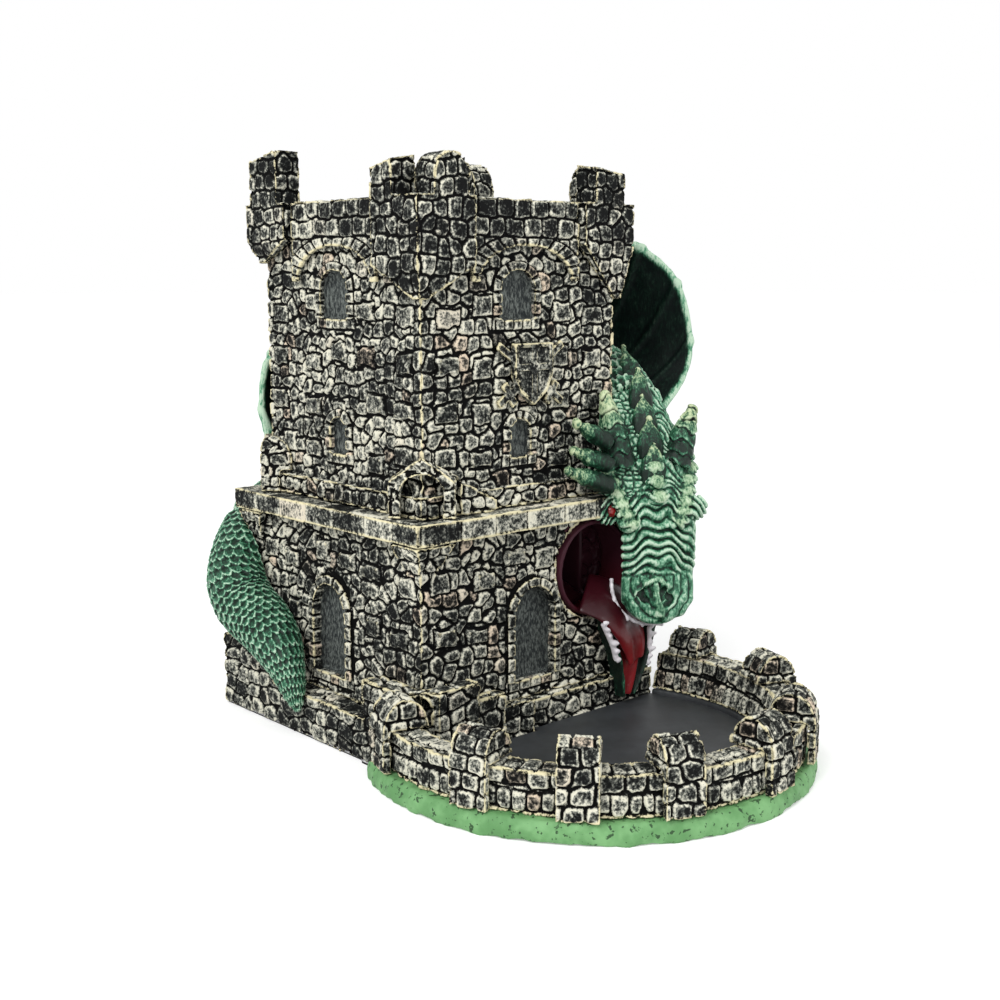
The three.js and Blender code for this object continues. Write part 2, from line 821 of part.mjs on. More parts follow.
// Board between two side walls, given by its high and low ends in Y and Z
function rampGeometry(half, highY, highZ, lowY, lowZ) {
  return crossing([
    [highY, highZ],
    [highY, highZ - rampThickness],
    [lowY, lowZ - rampThickness],
    [lowY, lowZ],
  ], -half, half);
}

// Upright board that steers the dice along the lowest ramp to the mouth
function guideGeometry() {
  const wall = groundBoreHalf - seatGap;
  const front = groundBoreHalf - liningInside - seatGap;
  const guideEnd = mouthX - mouthHalf - guideThickness;
  const board = prism([
    [-wall, guideStart],
    [-wall, guideStart - guideThickness],
    [guideEnd - guideThickness, -front],
    [guideEnd, -front],
  ], lowerRampLow - rampThickness, guideTop);
  const below = crossing([
    [wall, lowerRampHigh + seatGap],
    [wall, 0],
    [-front, 0],
    [-front, lowerRampLow + seatGap],
  ], -wall - overrun, wall + overrun);
  return cut(board, below);
}

function liningGeometry() {
  const front = -groundHalf;
  const back = -groundBoreHalf + liningInside;
  const tube = standing(mouthShape(seatGap), front, back, 4 * arcSteps);
  const bore = standing(mouthShape(seatGap + liningThickness), front - overrun, back + overrun, 4 * arcSteps);
  return cut(tube, bore);
}

// Heater shield with a raised rim and cross, over two crossed swords
function shieldGeometry() {
  const outlineShares = [
    [-0.5, 0.5], [-0.5, -0.02], [-0.36, -0.28], [0, -0.5], [0.36, -0.28], [0.5, -0.02], [0.5, 0.5],
  ];
  const outline = (inset) => new THREE.Shape(outlineShares.map(([x, z]) => new THREE.Vector2(
    shieldX + x * (shieldWidth - 2 * inset),
    shieldZ + z * (shieldHeight - 2 * inset),
  )));
  const front = -storeyHalf - seatGap;
  const plate = standing(outline(0), front - shieldPlate - shieldRimHeight, front);
  const field = standing(outline(shieldRim), front - shieldPlate - overrun, front - shieldPlate);
  const upright = block(
    [shieldX - crossWidth / 2, front - shieldPlate - shieldRimHeight, shieldZ - shieldHeight / 2 + shieldRim],
    [shieldX + crossWidth / 2, front, shieldZ + shieldHeight / 2],
  );
  const arm = block(
    [shieldX - shieldWidth / 2, front - shieldPlate - shieldRimHeight, shieldZ + crossWidth / 2],
    [shieldX + shieldWidth / 2, front, shieldZ + crossWidth + crossWidth / 2],
  );
  const swords = [-1, 1].map((turn) => sword(turn, front));
  return join(cut(plate, field), upright, arm, ...swords);
}

function sword(turn, front) {
  const blade = block([-bladeLength / 2, -bladePlate, -bladeWidth / 2], [bladeLength / 2, 0, bladeWidth / 2]);
  const guardPlace = -turn * (bladeLength / 2 - guardFromEnd);
  const guard = block(
    [guardPlace - bladeWidth / 2, -bladePlate, -guardLength / 2],
    [guardPlace + bladeWidth / 2, 0, guardLength / 2],
  );
  const whole = join(blade, guard);
  whole.rotateY(-turn * bladeTilt * degree);
  whole.translate(shieldX, front, shieldZ);
  return whole;
}

// Everything of the tower that the dragon lies against, grown by the seat gap
function towerRoom() {
  const grown = (half, bottom, top) => squareBlock(half + seatGap, bottom - seatGap, top + seatGap);
  const landing = block(
    [-plinthHalf - landingReach - seatGap, -landingFront - seatGap, 0],
    [-lowerStepEnd + seatGap, 0, landingTop + seatGap],
  );
  const slab = block(
    [-plinthHalf - seatGap, -plinthFront - seatGap, 0],
    [plinthHalf + seatGap, plinthHalf + seatGap, plinthTop + seatGap],
  );
  const buttress = block(
    [-plinthHalf - seatGap, buttressStart, 0],
    [buttressEnd + seatGap, plinthHalf + seatGap, buttressTop + seatGap],
  );
  return join(
    slab,
    landing,
    buttress,
    grown(groundHalf + stoneProud, plinthTop, ledgeBottom),
    grown(ledgeHalf, ledgeBottom, ledgeTop),
    grown(storeyHalf + courseReach, ledgeTop, ledgeTop + courseHeight),
    grown(storeyHalf + stoneProud, ledgeTop, crownSeat),
    grown(crownHalf + turretReach, turretFoot, crownTop),
    ...[0, 1, 2].map((turns) => corbel(turns, seatGap)),
    ...nicheCorners.map(([, turns, pointed]) => onFace(nicheBody(pointed, seatGap), turns + 1 / 2)),
  );
}

const nicheCorners = [['front_left', 0, true], ['back_left', 1, false]];
const tower = new THREE.Group();
group.add(tower);
part(tower, 'plinth', plinthGeometry(), stoneFinish);
part(tower, 'lower_storey', lowerStoreyGeometry(), stoneFinish);
part(tower, 'string_course', ledgeGeometry(), paleStoneFinish);
part(tower, 'upper_storey', upperStoreyGeometry(), stoneFinish);

const faceNames = ['front', 'left', 'back', 'right'];
faceNames.forEach((face, turns) => {
  const panel = part(tower, `parapet_${face}`, parapetGeometry(), stoneFinish);
  panel.rotation.z = -turns * quarterTurn;
});

// Each corner's shares of skirt and taper, then its merlons: along its first wall, then along its
// second wall, clockwise from above
const turretShares = [
  ['back_right', [0.06, 0.43], [0.22, 0.76], [0.32, 0.66]],
  ['front_right', [0.25, 1], [0.42, 0.52], [0.21, 0.59, 0.86, 0.75, 0.85, 0.95]],
  ['front_left', [1, 0.57], [0.29, 0.61], [0.53, 0.47, 0.64, 0.82, 0.95, 0.75]],
  ['back_left', [0.06, 0.43], [0.12, 0.7, 0.97, 0.8, 0.9, 0.98], [0.3, 0.4]],
];
turretShares.forEach(([corner, depths, ...merlons], turns) => {
  const extra = corner.startsWith('back') ? backMerlonExtra : 0;
  const turret = part(tower, `turret_${corner}`, turretGeometry(depths, merlons, extra), stoneFinish);
  turret.rotation.z = -turns * quarterTurn;
});

nicheCorners.forEach(([corner, turns, pointed]) => {
  const niche = part(tower, `niche_${corner}`, nicheGeometry(turns, pointed), paleStoneFinish);
  niche.rotation.z = -(turns + 1 / 2) * quarterTurn;
});

part(tower, 'shield_relief', shieldGeometry(), boneFinish);

const boreHalf = storeyHalf - storeyWall - seatGap;
part(
  tower,
  'ramp_upper',
  rampGeometry(boreHalf, boreHalf, upperRampHigh, -boreHalf + dropGap, upperRampLow),
  boardFinish,
);
part(
  tower,
  'ramp_middle',
  rampGeometry(boreHalf, -boreHalf, middleRampHigh, boreHalf - middleDropGap, middleRampLow),
  boardFinish,
);
const lowerBoreHalf = groundBoreHalf - seatGap;
const rampFront = -groundBoreHalf + liningInside + seatGap;
part(
  tower,
  'ramp_lower',
  rampGeometry(lowerBoreHalf, lowerBoreHalf, lowerRampHigh, rampFront, lowerRampLow),
  throatFinish,
);
part(tower, 'throat_guide', guideGeometry(), boardFinish);
part(tower, 'mouth_lining', liningGeometry(), throatFinish);

// Dragon, whose paths are made of places
const dragon = new THREE.Group();
group.add(dragon);
const room = towerRoom();

const bodyPathShares = [
  [1.26, -0.93, 0.603], [1.36, -0.66, 0.643], [1.40, -0.28, 0.673], [1.42, 0.17, 0.675],
  [1.43, 0.67, 0.65], [1.38, 1.24, 0.607], [0.92, 1.46, 0.56], [0.39, 1.49, 0.507],
  [-0.11, 1.47, 0.447], [-0.56, 1.44, 0.393], [-0.94, 1.39, 0.353],
];
const bodyRadiusShares = [0.72, 0.72, 0.76, 0.88, 0.98, 1, 1, 1, 0.9, 0.78, 0.68];
const bodyRings = 34;
const bodyLimb = (grow) => limb(bodyPathShares, bodyRadiusShares, bodyRadius, bodyRings, bodySides, grow);

const tailPathShares = [
  [-0.955, 1.385, 0.346], [-1.19, 1.2, 0.303], [-1.31, 1.06, 0.259], [-1.335, 0.9, 0.223],
  [-1.335, 0.64, 0.196], [-1.36, 0.39, 0.162], [-1.365, 0.25, 0.12], [-1.37, 0.155, 0.077],
  [-1.375, 0.12, 0.053],
];
const tailRadiusShares = [1, 0.97, 0.97, 0.96, 0.9, 0.74, 0.5, 0.3, 0.1];
const tailRings = 24;

part(dragon, 'dragon_body', largestBody(cut(bodyLimb(0), room)), scaleFinish);
part(
  dragon,
  'dragon_tail',
  largestBody(cut(
    limb(tailPathShares, tailRadiusShares, tailRadius, tailRings, bodySides),
    room,
    bodyLimb(jointGap),
  )),
  scaleFinish,
);

// The head's middle plane, turned a little towards the tray's left side
const headTurn = -25.5;
const headSide = new THREE.Vector3(Math.cos(headTurn * degree), Math.sin(headTurn * degree), 0);

// Stations down the ridge of the head: place, then shares of its width and depth
const headStationShares = [
  [[1.23, -1.0, 0.655], 0.66, 0.8],
  [[1.15, -1.16, 0.605], 0.74, 0.92],
  [[1.1, -1.28, 0.562], 0.88, 1],
  [[1.05, -1.39, 0.505], 1, 1],
  [[1.03, -1.45, 0.44], 0.98, 0.86],
  [[1.055, -1.495, 0.363], 0.84, 0.62],
  [[1.045, -1.525, 0.297], 0.75, 0.52],
  [[1.015, -1.575, 0.243], 0.71, 0.46],
  [[0.995, -1.57, 0.213], 0.52, 0.34],
  [[0.985, -1.55, 0.2], 0.26, 0.2],
];

// Ridge place, direction towards the ridge, half width and depth at each station
function headStations() {
  const ridge = headStationShares.map(([spot]) => place(spot));
  return headStationShares.map(([, width, depth], station) => {
    const before = ridge[Math.max(station - 1, 0)];
    const after = ridge[Math.min(station + 1, ridge.length - 1)];
    const along = new THREE.Vector3().subVectors(after, before).normalize();
    const out = new THREE.Vector3().crossVectors(along, headSide).normalize();
    return { ridge: ridge[station], out, half: width * headHalfWidth, depth: depth * headDepth };
  });
}

const stations = headStations();

// Oval with fuller corners than a circle
function fullLoop(centre, side, up, halfWidth, halfHeight, sides) {
  const fuller = (value) => Math.sign(value) * Math.abs(value) ** fullness;
  return Array.from({ length: sides }, (_, corner) => {
    const angle = (corner / sides) * 2 * Math.PI;
    return centre.clone()
      .addScaledVector(side, halfWidth * fuller(Math.cos(angle)))
      .addScaledVector(up, halfHeight * fuller(Math.sin(angle)));
  });
}

function headLoft(grow) {
  return loft(stations.map(({ ridge, out, half, depth }) => {
    const centre = ridge.clone().addScaledVector(out, -depth / 2);
    return fullLoop(centre, headSide, out, half + grow, depth / 2 + grow, headSides);
  }));
}

// The palate is hollow where the dice come through the wall behind it
function palateGeometry() {
  return standing(mouthShape(0), -groundHalf - palateDepth, -groundBoreHalf, 4 * arcSteps);
}

const headRoom = headLoft(jointGap);
const neckRoom = bodyLimb(jointGap);
const head = largestBody(cut(headLoft(0), room, neckRoom, palateGeometry()));
part(dragon, 'dragon_head', head, scaleFinish);

// A place on the head: share down its stations, shares of its width and depth from the ridge
function onHead(share, sideways, inward) {
  const spot = share * (stations.length - 1);
  const lower = Math.min(Math.floor(spot), stations.length - 2);
  const rest = spot - lower;
  const near = stations[lower];
  const far = stations[lower + 1];
  const half = near.half * (1 - rest) + far.half * rest;
  const depth = near.depth * (1 - rest) + far.depth * rest;
  const out = near.out.clone().lerp(far.out, rest).normalize();
  return near.ridge.clone().lerp(far.ridge, rest)
    .addScaledVector(headSide, sideways * half)
    .addScaledVector(out, -inward * depth);
}

// Tapering horn from a root inside the head to a tip
function spike(root, tip, radius, tipShare) {
  const along = tip.clone().sub(root).normalize();
  const side = new THREE.Vector3(0, 0, 1).cross(along).normalize();
  const up = new THREE.Vector3().crossVectors(along, side);
  const widthShares = [1, 1, 0.9, 0.7, tipShare];
  return loft(widthShares.map((share, ring) => circleLoop(
    root.clone().lerp(tip, ring / (widthShares.length - 1)),
    side,
    up,
    radius * share,
    radius * share,
    hornSides,
  )));
}

// Trimmed to the part that stands clear of the tower, the head and the neck
function clearOfDragon(geometry, ...others) {
  return largestBody(cut(geometry, room, headRoom, neckRoom, ...others));
}

// Horns and spines share the skull, so each is trimmed by those made before it
const spikesMade = [];
function spikePart(name, rootShares, tipShares, radius, tipShare) {
  const form = (grow) => spike(place(rootShares), place(tipShares), radius + grow, tipShare);
  part(dragon, name, clearOfDragon(form(0), ...spikesMade), paleScaleFinish);
  spikesMade.push(form(jointGap));
}

const hornShares = [
  ['left', [0.87, -1.22, 0.5], [0.76, -1.11, 0.647]],
  ['right', [1.28, -1.42, 0.5], [1.5, -1.43, 0.617]],
];
hornShares.forEach(([side, root, tip]) => {
  spikePart(`horn_${side}`, root, tip, hornRadius, 0.45);
});

const spineShares = [
  [[1.25, -1.04, 0.64], [1.35, -0.77, 0.728]],
  [[1.2, -1.14, 0.6], [1.2, -1.08, 0.687]],
  [[1.13, -1.24, 0.56], [1.155, -1.175, 0.637]],
  [[1.08, -1.34, 0.515], [1.1, -1.3, 0.597]],
  [[1.05, -1.4, 0.47], [1.06, -1.39, 0.55]],
];
spineShares.forEach(([root, tip], spine) => {
  spikePart(`crest_spine_${spine + 1}`, root, tip, spineRadius, 0.2);
});

const cheekShares = [
  [[0.72, -1.22, 0.55], [0.41, -1.14, 0.596]],
  [[0.7, -1.25, 0.51], [0.37, -1.15, 0.542]],
  [[0.69, -1.28, 0.47], [0.3, -1.15, 0.506]],
];
cheekShares.forEach(([root, tip], cheek) => {
  spikePart(`cheek_spike_${cheek + 1}`, root, tip, cheekRadius, 0.35);
});

// Share down the head, of its width and of its depth
const eyeShares = [0.47, 0.88, 0.19];
[['left', -1], ['right', 1]].forEach(([side, turn]) => {
  const eye = new THREE.SphereGeometry(eyeRadius, hornSides + hornSides, hornSides);
  eye.translate(...onHead(eyeShares[0], turn * eyeShares[1], eyeShares[2]));
  part(dragon, `eye_${side}`, clearOfDragon(eye), eyeFinish);
});

// A row of teeth: one saw-toothed strip through the places given
function toothRow(places, facing, steps, ...others) {
  const path = new THREE.CatmullRomCurve3(places);
  const loops = [];
  for (let step = 0; step <= steps; step += 1) {
    const centre = path.getPoint(step / steps);
    const ahead = path.getTangent(step / steps);
    const side = new THREE.Vector3().crossVectors(ahead, facing).normalize();
    const height = step % 2 ? toothHeight : toothHeight / 2;
    loops.push(circleLoop(centre, side, facing, toothWidth, height, 4));
  }
  return largestBody(cut(loft(loops), room, headRoom, ...others));
}

// Stations of the lower jaw: middle across, height, rim and floor in front of the wall, half width
const jawStationShares = [
  [0.97, 0.24, 1.24, 1.2, 1],
  [0.98, 0.2, 1.28, 1.21, 0.9],
  [0.98, 0.16, 1.305, 1.22, 0.7],
  [0.98, 0.12, 1.315, 1.23, 0.5],
  [0.955, 0.08, 1.32, 1.25, 0.35],
  [0.92, 0.045, 1.31, 1.26, 0.2],
];

const jawRimShare = 0.8;
const jawFloorShare = 0.7;
const toothLineShare = 0.9;

function jawGeometry() {
  const back = storeyHalf;
  const loops = jawStationShares.map(([across, high, rim, floor, width]) => {
    const middle = beside(across);
    const half = width * jawHalfWidth;
    const front = beside(rim);
    const corners = [
      [-1, back], [-1, front], [-jawRimShare, front], [-jawFloorShare, beside(floor)],
    ];
    const mirrored = corners.map(([side, deep]) => [-side, deep]).reverse();
    return [...corners, ...mirrored].map(([side, deep]) => (
      new THREE.Vector3(middle + side * half, -deep, high * crownTop)
    ));
  });
  return largestBody(cut(loft(loops), room, headRoom));
}

const jaw = jawGeometry();
part(dragon, 'lower_jaw', jaw, scaleFinish);

// Tongue on the floor of the jaw, from the mouth down to a blunt tip
function tongueGeometry() {
  const shares = [[0.93, 0.235, 1.2, 1], ...jawStationShares.slice(1).map(
    ([across, high, , floor, width]) => [across, high, floor, width],
  )];
  const loops = shares.map(([across, high, floor, width]) => {
    const middle = place([across, -floor, high]);
    const side = new THREE.Vector3(1, 0, 0);
    const up = new THREE.Vector3(0, -1, 0);
    return circleLoop(middle, side, up, width * tongueHalfWidth, tongueThickness, hornSides);
  });
  return largestBody(cut(loft(loops), room, headRoom, jaw));
}

const tongue = tongueGeometry();
part(dragon, 'tongue', tongue, tongueFinish);

[['left', -1], ['right', 1]].forEach(([side, turn]) => {
  const rim = jawStationShares.slice(0, 5).map(([across, high, deep, , width]) => {
    const middle = place([across, -deep, high]);
    return middle.setX(middle.x + turn * width * jawHalfWidth * toothLineShare);
  });
  const row = toothRow(rim, new THREE.Vector3(0, -1, 0), 2 * arcSteps, jaw, tongue);
  part(dragon, `teeth_lower_${side}`, row, toothFinish);
});

const lipShares = [
  [0.62, -0.9], [0.7, -0.95], [0.78, -1], [0.88, -0.8], [0.96, 0],
  [0.88, 0.8], [0.78, 1], [0.7, 0.95], [0.62, 0.9],
];
const lipDepthShare = 0.76;
const lip = lipShares.map(([share, sideways]) => onHead(share, sideways, lipDepthShare));
const lipFacing = stations[stations.length - 4].out.clone().negate();
const upperRow = toothRow(lip, lipFacing, 5 * arcSteps, jaw, tongue, palateGeometry());
part(dragon, 'teeth_upper', upperRow, toothFinish);

// Wing sheets: rows of places from the first edge to the last, each from low to high
function sheet(rowShares, steps) {
  const columns = rowShares[0].length;
  const curves = rowShares.map((row) => new THREE.CatmullRomCurve3(row.map(place)));
  const grid = [];
  for (let step = 0; step <= steps; step += 1) {
    const across = curves.map((curve) => curve.getPoint(step / steps));
    const line = new THREE.CatmullRomCurve3(across);
    grid.push(Array.from({ length: 3 * columns }, (_, stop) => line.getPoint(stop / (3 * columns - 1))));
  }
  return thickened(grid);
}

function thickened(grid) {
  const rows = grid.length;
  const columns = grid[0].length;
  const normalAt = (row, column) => {
    const down = grid[Math.max(row - 1, 0)][column];
    const up = grid[Math.min(row + 1, rows - 1)][column];
    const left = grid[row][Math.max(column - 1, 0)];
    const right = grid[row][Math.min(column + 1, columns - 1)];
    return new THREE.Vector3().crossVectors(up.clone().sub(down), right.clone().sub(left)).normalize();
  };
  const loops = grid.map((line, row) => {
    const offset = (side) => line.map((point, column) => (
      point.clone().addScaledVector(normalAt(row, column), side * wingThickness / 2)
    ));
    return [...offset(1), ...offset(-1).reverse()];
  });
  return loft(loops);
}

const wingRightShares = [
  [
    [1.66, -0.87, 0.567], [2.06, -0.89, 0.66], [2.15, -0.86, 0.745], [2.05, -0.75, 0.865],
    [1.78, -0.53, 0.937],
  ],
  [[1.52, -0.4, 0.587], [1.68, -0.15, 0.673], [1.74, -0.05, 0.76], [1.68, -0.1, 0.855], [1.56, -0.26, 0.923]],
  [[1.5, 0.55, 0.64], [1.6, 0.6, 0.707], [1.6, 0.6, 0.787], [1.52, 0.5, 0.86], [1.45, 0.4, 0.907]],
  [[1.4, 1.3, 0.667], [1.45, 1.4, 0.72], [1.42, 1.4, 0.76], [1.4, 1.3, 0.813], [1.38, 1.2, 0.853]],
];
const wingLeftShares = [
  [[0.95, 1.35, 0.62], [0.95, 1.5, 0.69], [0.95, 1.5, 0.75], [0.92, 1.42, 0.8]],
  [[0.35, 1.35, 0.627], [0.35, 1.58, 0.72], [0.33, 1.58, 0.81], [0.3, 1.42, 0.887]],
  [[-0.35, 1.3, 0.573], [-0.35, 1.5, 0.68], [-0.36, 1.5, 0.76], [-0.36, 1.36, 0.833]],
  [[-0.9, 1.22, 0.533], [-0.93, 1.24, 0.587], [-0.93, 1.24, 0.64], [-0.9, 1.22, 0.687]],
];
const wingRows = 14;
part(dragon, 'wing_right', clearOfDragon(sheet(wingRightShares, wingRows)), scaleFinish);
part(dragon, 'wing_left', clearOfDragon(sheet(wingLeftShares, wingRows)), scaleFinish);

// Tray: everything is made round its centre and clipped to the outline of the tower's foot
const tray = new THREE.Group();
tray.position.set(trayX, -trayY, 0);
group.add(tray);

function trayRoomGeometry() {
  const side = plinthHalf + landingReach + slideGap;
  const front = landingFront + slideGap;
  const far = 2 * trayGroundRadius;
  const clearing = prism([
    [-far, -trayLeftEnd],
    [-side, -trayLeftEnd],
    [-side, -front + landingChamfer],
    [-side + landingChamfer, -front],
    [-landingSide + slideGap, -front],
    [-landingSide + slideGap, -upperStepFront - slideGap],
    [-upperStepEnd + slideGap, -upperStepFront - slideGap],
    [-upperStepEnd + slideGap, -lowerStepFront - slideGap],
    [-lowerStepEnd + slideGap, -lowerStepFront - slideGap],
    [-lowerStepEnd + slideGap, -plinthFront - slideGap],
    [far, -plinthFront - slideGap],
    [far, far],
    [-far, far],
  ], -overrun, crownHalf);
  clearing.translate(-trayX, trayY, 0);
  return clearing;
}

const trayRoom = trayRoomGeometry();

function revolved(profile) {
  const points = [...profile, profile[0]].map(([radius, height]) => new THREE.Vector2(radius, height));
  const geometry = new THREE.LatheGeometry(points, trayFacets);
  geometry.rotateX(quarterTurn);
  return facesOut(indexed(geometry));
}

function indexed(geometry) {
  const bare = geometry.clone();
  bare.deleteAttribute('normal');
  bare.deleteAttribute('uv');
  return mergeVertices(bare, weld);
}

function trayBaseGeometry() {
  const slab = new THREE.CylinderGeometry(trayGroundRadius, trayGroundRadius, floorTop, trayFacets);
  slab.rotateX(quarterTurn);
  slab.translate(0, 0, floorTop / 2);
  const bank = revolved([
    [wallFootRadius, 0],
    [trayGroundRadius, 0],
    [trayGroundRadius, floorTop],
    [bankTopRadius, bankTop],
    [wallFootRadius, bankTop],
  ]);
  return cut(join(slab, bank), trayRoom);
}

function trayWallGeometry() {
  const ring = revolved([
    [wallFootRadius, bankTop],
    [wallOuterRadius, bankTop],
    [wallOuterRadius, wallTop],
    [wallTopRadius, wallTop],
  ]);
  return largestBody(cut(ring, trayRoom));
}

function trayMatGeometry() {
  const radius = wallFootRadius - seatGap;
  const disc = new THREE.CylinderGeometry(radius, radius, matThickness, trayFacets);
  disc.rotateX(quarterTurn);
  disc.translate(0, 0, floorTop + matThickness / 2);
  return cut(disc, trayRoom);
}

// Round-topped saddle over the wall with a leg down its outer face
function trayMerlonGeometry(angle) {
  const middle = (trayMerlonOut + trayMerlonIn) / 2;
  const half = (trayMerlonOut - trayMerlonIn) / 2;
  const width = trayMerlonWidth / 2;
  const saddle = standing(
    archShape(middle, half, bankTop, wallTop - trayMerlonDrop, wallTop + trayMerlonRise),
    -width,
    width,
  );
  const wall = block(
    [trayMerlonIn - overrun, -width - overrun, bankTop - overrun],
    [wallOuterRadius + seatGap, width + overrun, wallTop],
  );
  const clear = trayRoom.clone();
  clear.rotateZ(-angle * degree);
  return largestBody(cut(saddle, wall, clear));
}

part(tray, 'tray_base', trayBaseGeometry(), grassFinish);
part(tray, 'tray_wall', trayWallGeometry(), stoneFinish);
part(tray, 'tray_mat', trayMatGeometry(), matFinish);
trayMerlonAngles.forEach((angle, slot) => {
  const merlon = part(tray, `tray_merlon_${slot + 1}`, trayMerlonGeometry(angle), slateFinish);
  merlon.rotation.z = angle * degree;
});

export default group;
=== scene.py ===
"""Looks of the stone keep dice tower: painted stone skins, a scaly dragon and a mossy tray.

Sizes are in millimetres and are turned into metres when a mesh is made. Stone skins grow out
of the CAD nodes: each node is remeshed finely, carved into blocks and dry-brushed by shape.
"""

import math

import bpy
import numpy as np
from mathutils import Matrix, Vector


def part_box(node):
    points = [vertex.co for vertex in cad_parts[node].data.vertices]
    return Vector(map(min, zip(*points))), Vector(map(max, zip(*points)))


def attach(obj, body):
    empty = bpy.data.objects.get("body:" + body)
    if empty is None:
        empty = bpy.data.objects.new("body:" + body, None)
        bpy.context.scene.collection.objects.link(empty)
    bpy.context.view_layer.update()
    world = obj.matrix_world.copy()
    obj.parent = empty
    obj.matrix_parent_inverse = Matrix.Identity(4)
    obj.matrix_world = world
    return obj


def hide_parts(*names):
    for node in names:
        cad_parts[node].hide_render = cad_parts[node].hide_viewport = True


MM = 0.001

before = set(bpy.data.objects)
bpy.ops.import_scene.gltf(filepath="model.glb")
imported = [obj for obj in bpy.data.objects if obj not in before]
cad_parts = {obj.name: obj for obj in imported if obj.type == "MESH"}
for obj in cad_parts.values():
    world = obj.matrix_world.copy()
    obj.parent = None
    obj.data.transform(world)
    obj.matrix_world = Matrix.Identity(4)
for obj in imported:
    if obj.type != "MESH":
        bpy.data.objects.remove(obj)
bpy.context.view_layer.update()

# Grain of the skins: about how wide their faces are, in mm
FINE = 0.34
MEDIUM = 0.42
COARSE = 0.6
ROUGH = 1.2
SMALL = 0.3
TOOTH = 0.25

HASH_START, SEED_STEP = 0x9E3779B9, 7919
HASH_PRIMES = (0x85EBCA6B, 0xC2B2AE35, 0x27D4EB2F)
HASH_MIX = ((15, 0x2C1B3C6D), (12, 0x297A2D39))


def scatter(*cells, seed=0):
    """Numbers from 0 to 1 for cells of a lattice: the same cell always gives the same number."""
    mixed = np.full(np.shape(cells[0]), HASH_START + seed * SEED_STEP, np.uint32)
    for cell, prime in zip(cells, HASH_PRIMES):
        mixed ^= np.asarray(cell).astype(np.int64).astype(np.uint32) * np.uint32(prime)
        for shift, factor in HASH_MIX:
            mixed = (mixed ^ (mixed >> shift)) * np.uint32(factor)
        mixed ^= mixed >> 15
    return mixed.astype(np.float64) / 2.0**32


def noise(points, scale, seed):
    """Smooth noise from 0 to 1 at points in millimetres, with features of the given size."""
    spot = points / scale
    base = np.floor(spot)
    rest = spot - base
    rest = rest * rest * (3 - 2 * rest)
    base = base.astype(np.int64)
    total = np.zeros(len(points))
    for corner in range(8):
        step = np.array([corner & 1, corner >> 1 & 1, corner >> 2 & 1])
        weight = np.prod(np.where(step, rest, 1 - rest), axis=1)
        total += weight * scatter(*(base + step).T, seed=seed)
    return total


def layered_noise(points, scale, seed):
    """Noise of three sizes, each half as wide and half as strong as the one before."""
    total = np.zeros(len(points))
    for octave in range(3):
        total += 0.5**octave * noise(points, scale / 2**octave, seed + octave)
    return total / (1 + 0.5 + 0.25)


def ease(value, low, high):
    """From 0 at low to 1 at high, with no kink at either end."""
    share = np.clip((value - low) / (high - low), 0, 1)
    return share * share * (3 - 2 * share)


def unit_length(arrows):
    return arrows / np.linalg.norm(arrows, axis=1, keepdims=True)


def warped(points, scale, reach, seed):
    """Points shifted by up to reach mm, smoothly from place to place."""
    shift = np.stack([noise(points, scale, seed + axis) for axis in range(3)], axis=1)
    return points + (shift - 0.5) * 2 * reach


# Patterns give the gap to the nearest joint in mm and two numbers per block; features are laid
# over a pattern, change those and say where slate shows
def blocks(size, jitter, bend, seed, power=4, axis=None):
    """Jittered courses of blocks on each side that a skin shows, straight or round an upright axis."""
    size = np.array(size, float)

    def at(points, normals):
        if axis is not None:
            away = points[:, :2] - axis[:2]
            turn, reach = np.arctan2(away[:, 1], away[:, 0]), np.hypot(*away.T)
            outward = away / reach[:, None]
            radial = (normals[:, :2] * outward).sum(axis=1)
            along = normals[:, 1] * outward[:, 0] - normals[:, 0] * outward[:, 1]
            normals = np.stack([along, radial, normals[:, 2]], axis=1)
            points = np.stack([turn * axis[2], reach, points[:, 2]], axis=1)
        place = warped(points, size.mean() * 1.7, bend, seed + 50)
        cell = (place / size).T
        facing = np.argmax(np.abs(normals) * (1, 1, 0.85), axis=1)
        side = 2 * facing + (np.take_along_axis(normals, facing[:, None], axis=1)[:, 0] > 0)
        cell_u = np.choose(facing, [cell[1], cell[0], cell[0]])
        cell_v = np.choose(facing, [cell[2], cell[2], cell[1]])
        row = np.floor(cell_v).astype(np.int64)
        nearest, second = np.full((2, len(points)), 1e9)
        tone, tint = np.zeros((2, len(points)))
        for up in (-1, 0, 1):
            level = row + up
            slide = scatter(level, side, seed=seed + 1)
            base = np.floor(cell_u - slide).astype(np.int64)
            for across in (-1, 0, 1):
                column = base + across
                dice = [scatter(column, side, level, seed=seed + n) for n in (3, 4, 5)]
                gap_u = cell_u - (column + 0.5 + slide + jitter * (dice[0] - 0.5))
                gap_v = cell_v - (level + 0.5 + jitter * (dice[1] - 0.5))
                away = (np.abs(gap_u) ** power + np.abs(gap_v) ** power) ** (1 / power)
                closer = away < nearest
                second = np.where(closer, nearest, np.minimum(second, away))
                nearest = np.where(closer, away, nearest)
                tone = np.where(closer, dice[2], tone)
                tint = np.where(closer, scatter(column, side, level, seed=seed + 6), tint)
        return (second - nearest) * size.mean() * 0.5, tone, tint

    return at


def face_frame(points):
    """Nearest face (0 front, 1 left, 2 back, 3 right), place along it and distance from the axis."""
    x, y = points[:, 0], points[:, 1]
    face = np.where(np.abs(y) >= np.abs(x), np.where(y < 0, 0, 2), np.where(x < 0, 1, 3))
    along = np.choose(face, [x, -y, -x, y])
    return face, along, np.maximum(np.abs(x), np.abs(y))


# How deep the stones of an arch go into its opening, and where the count of its sill stones starts
REVEAL = 1.2
SILL_START = 40


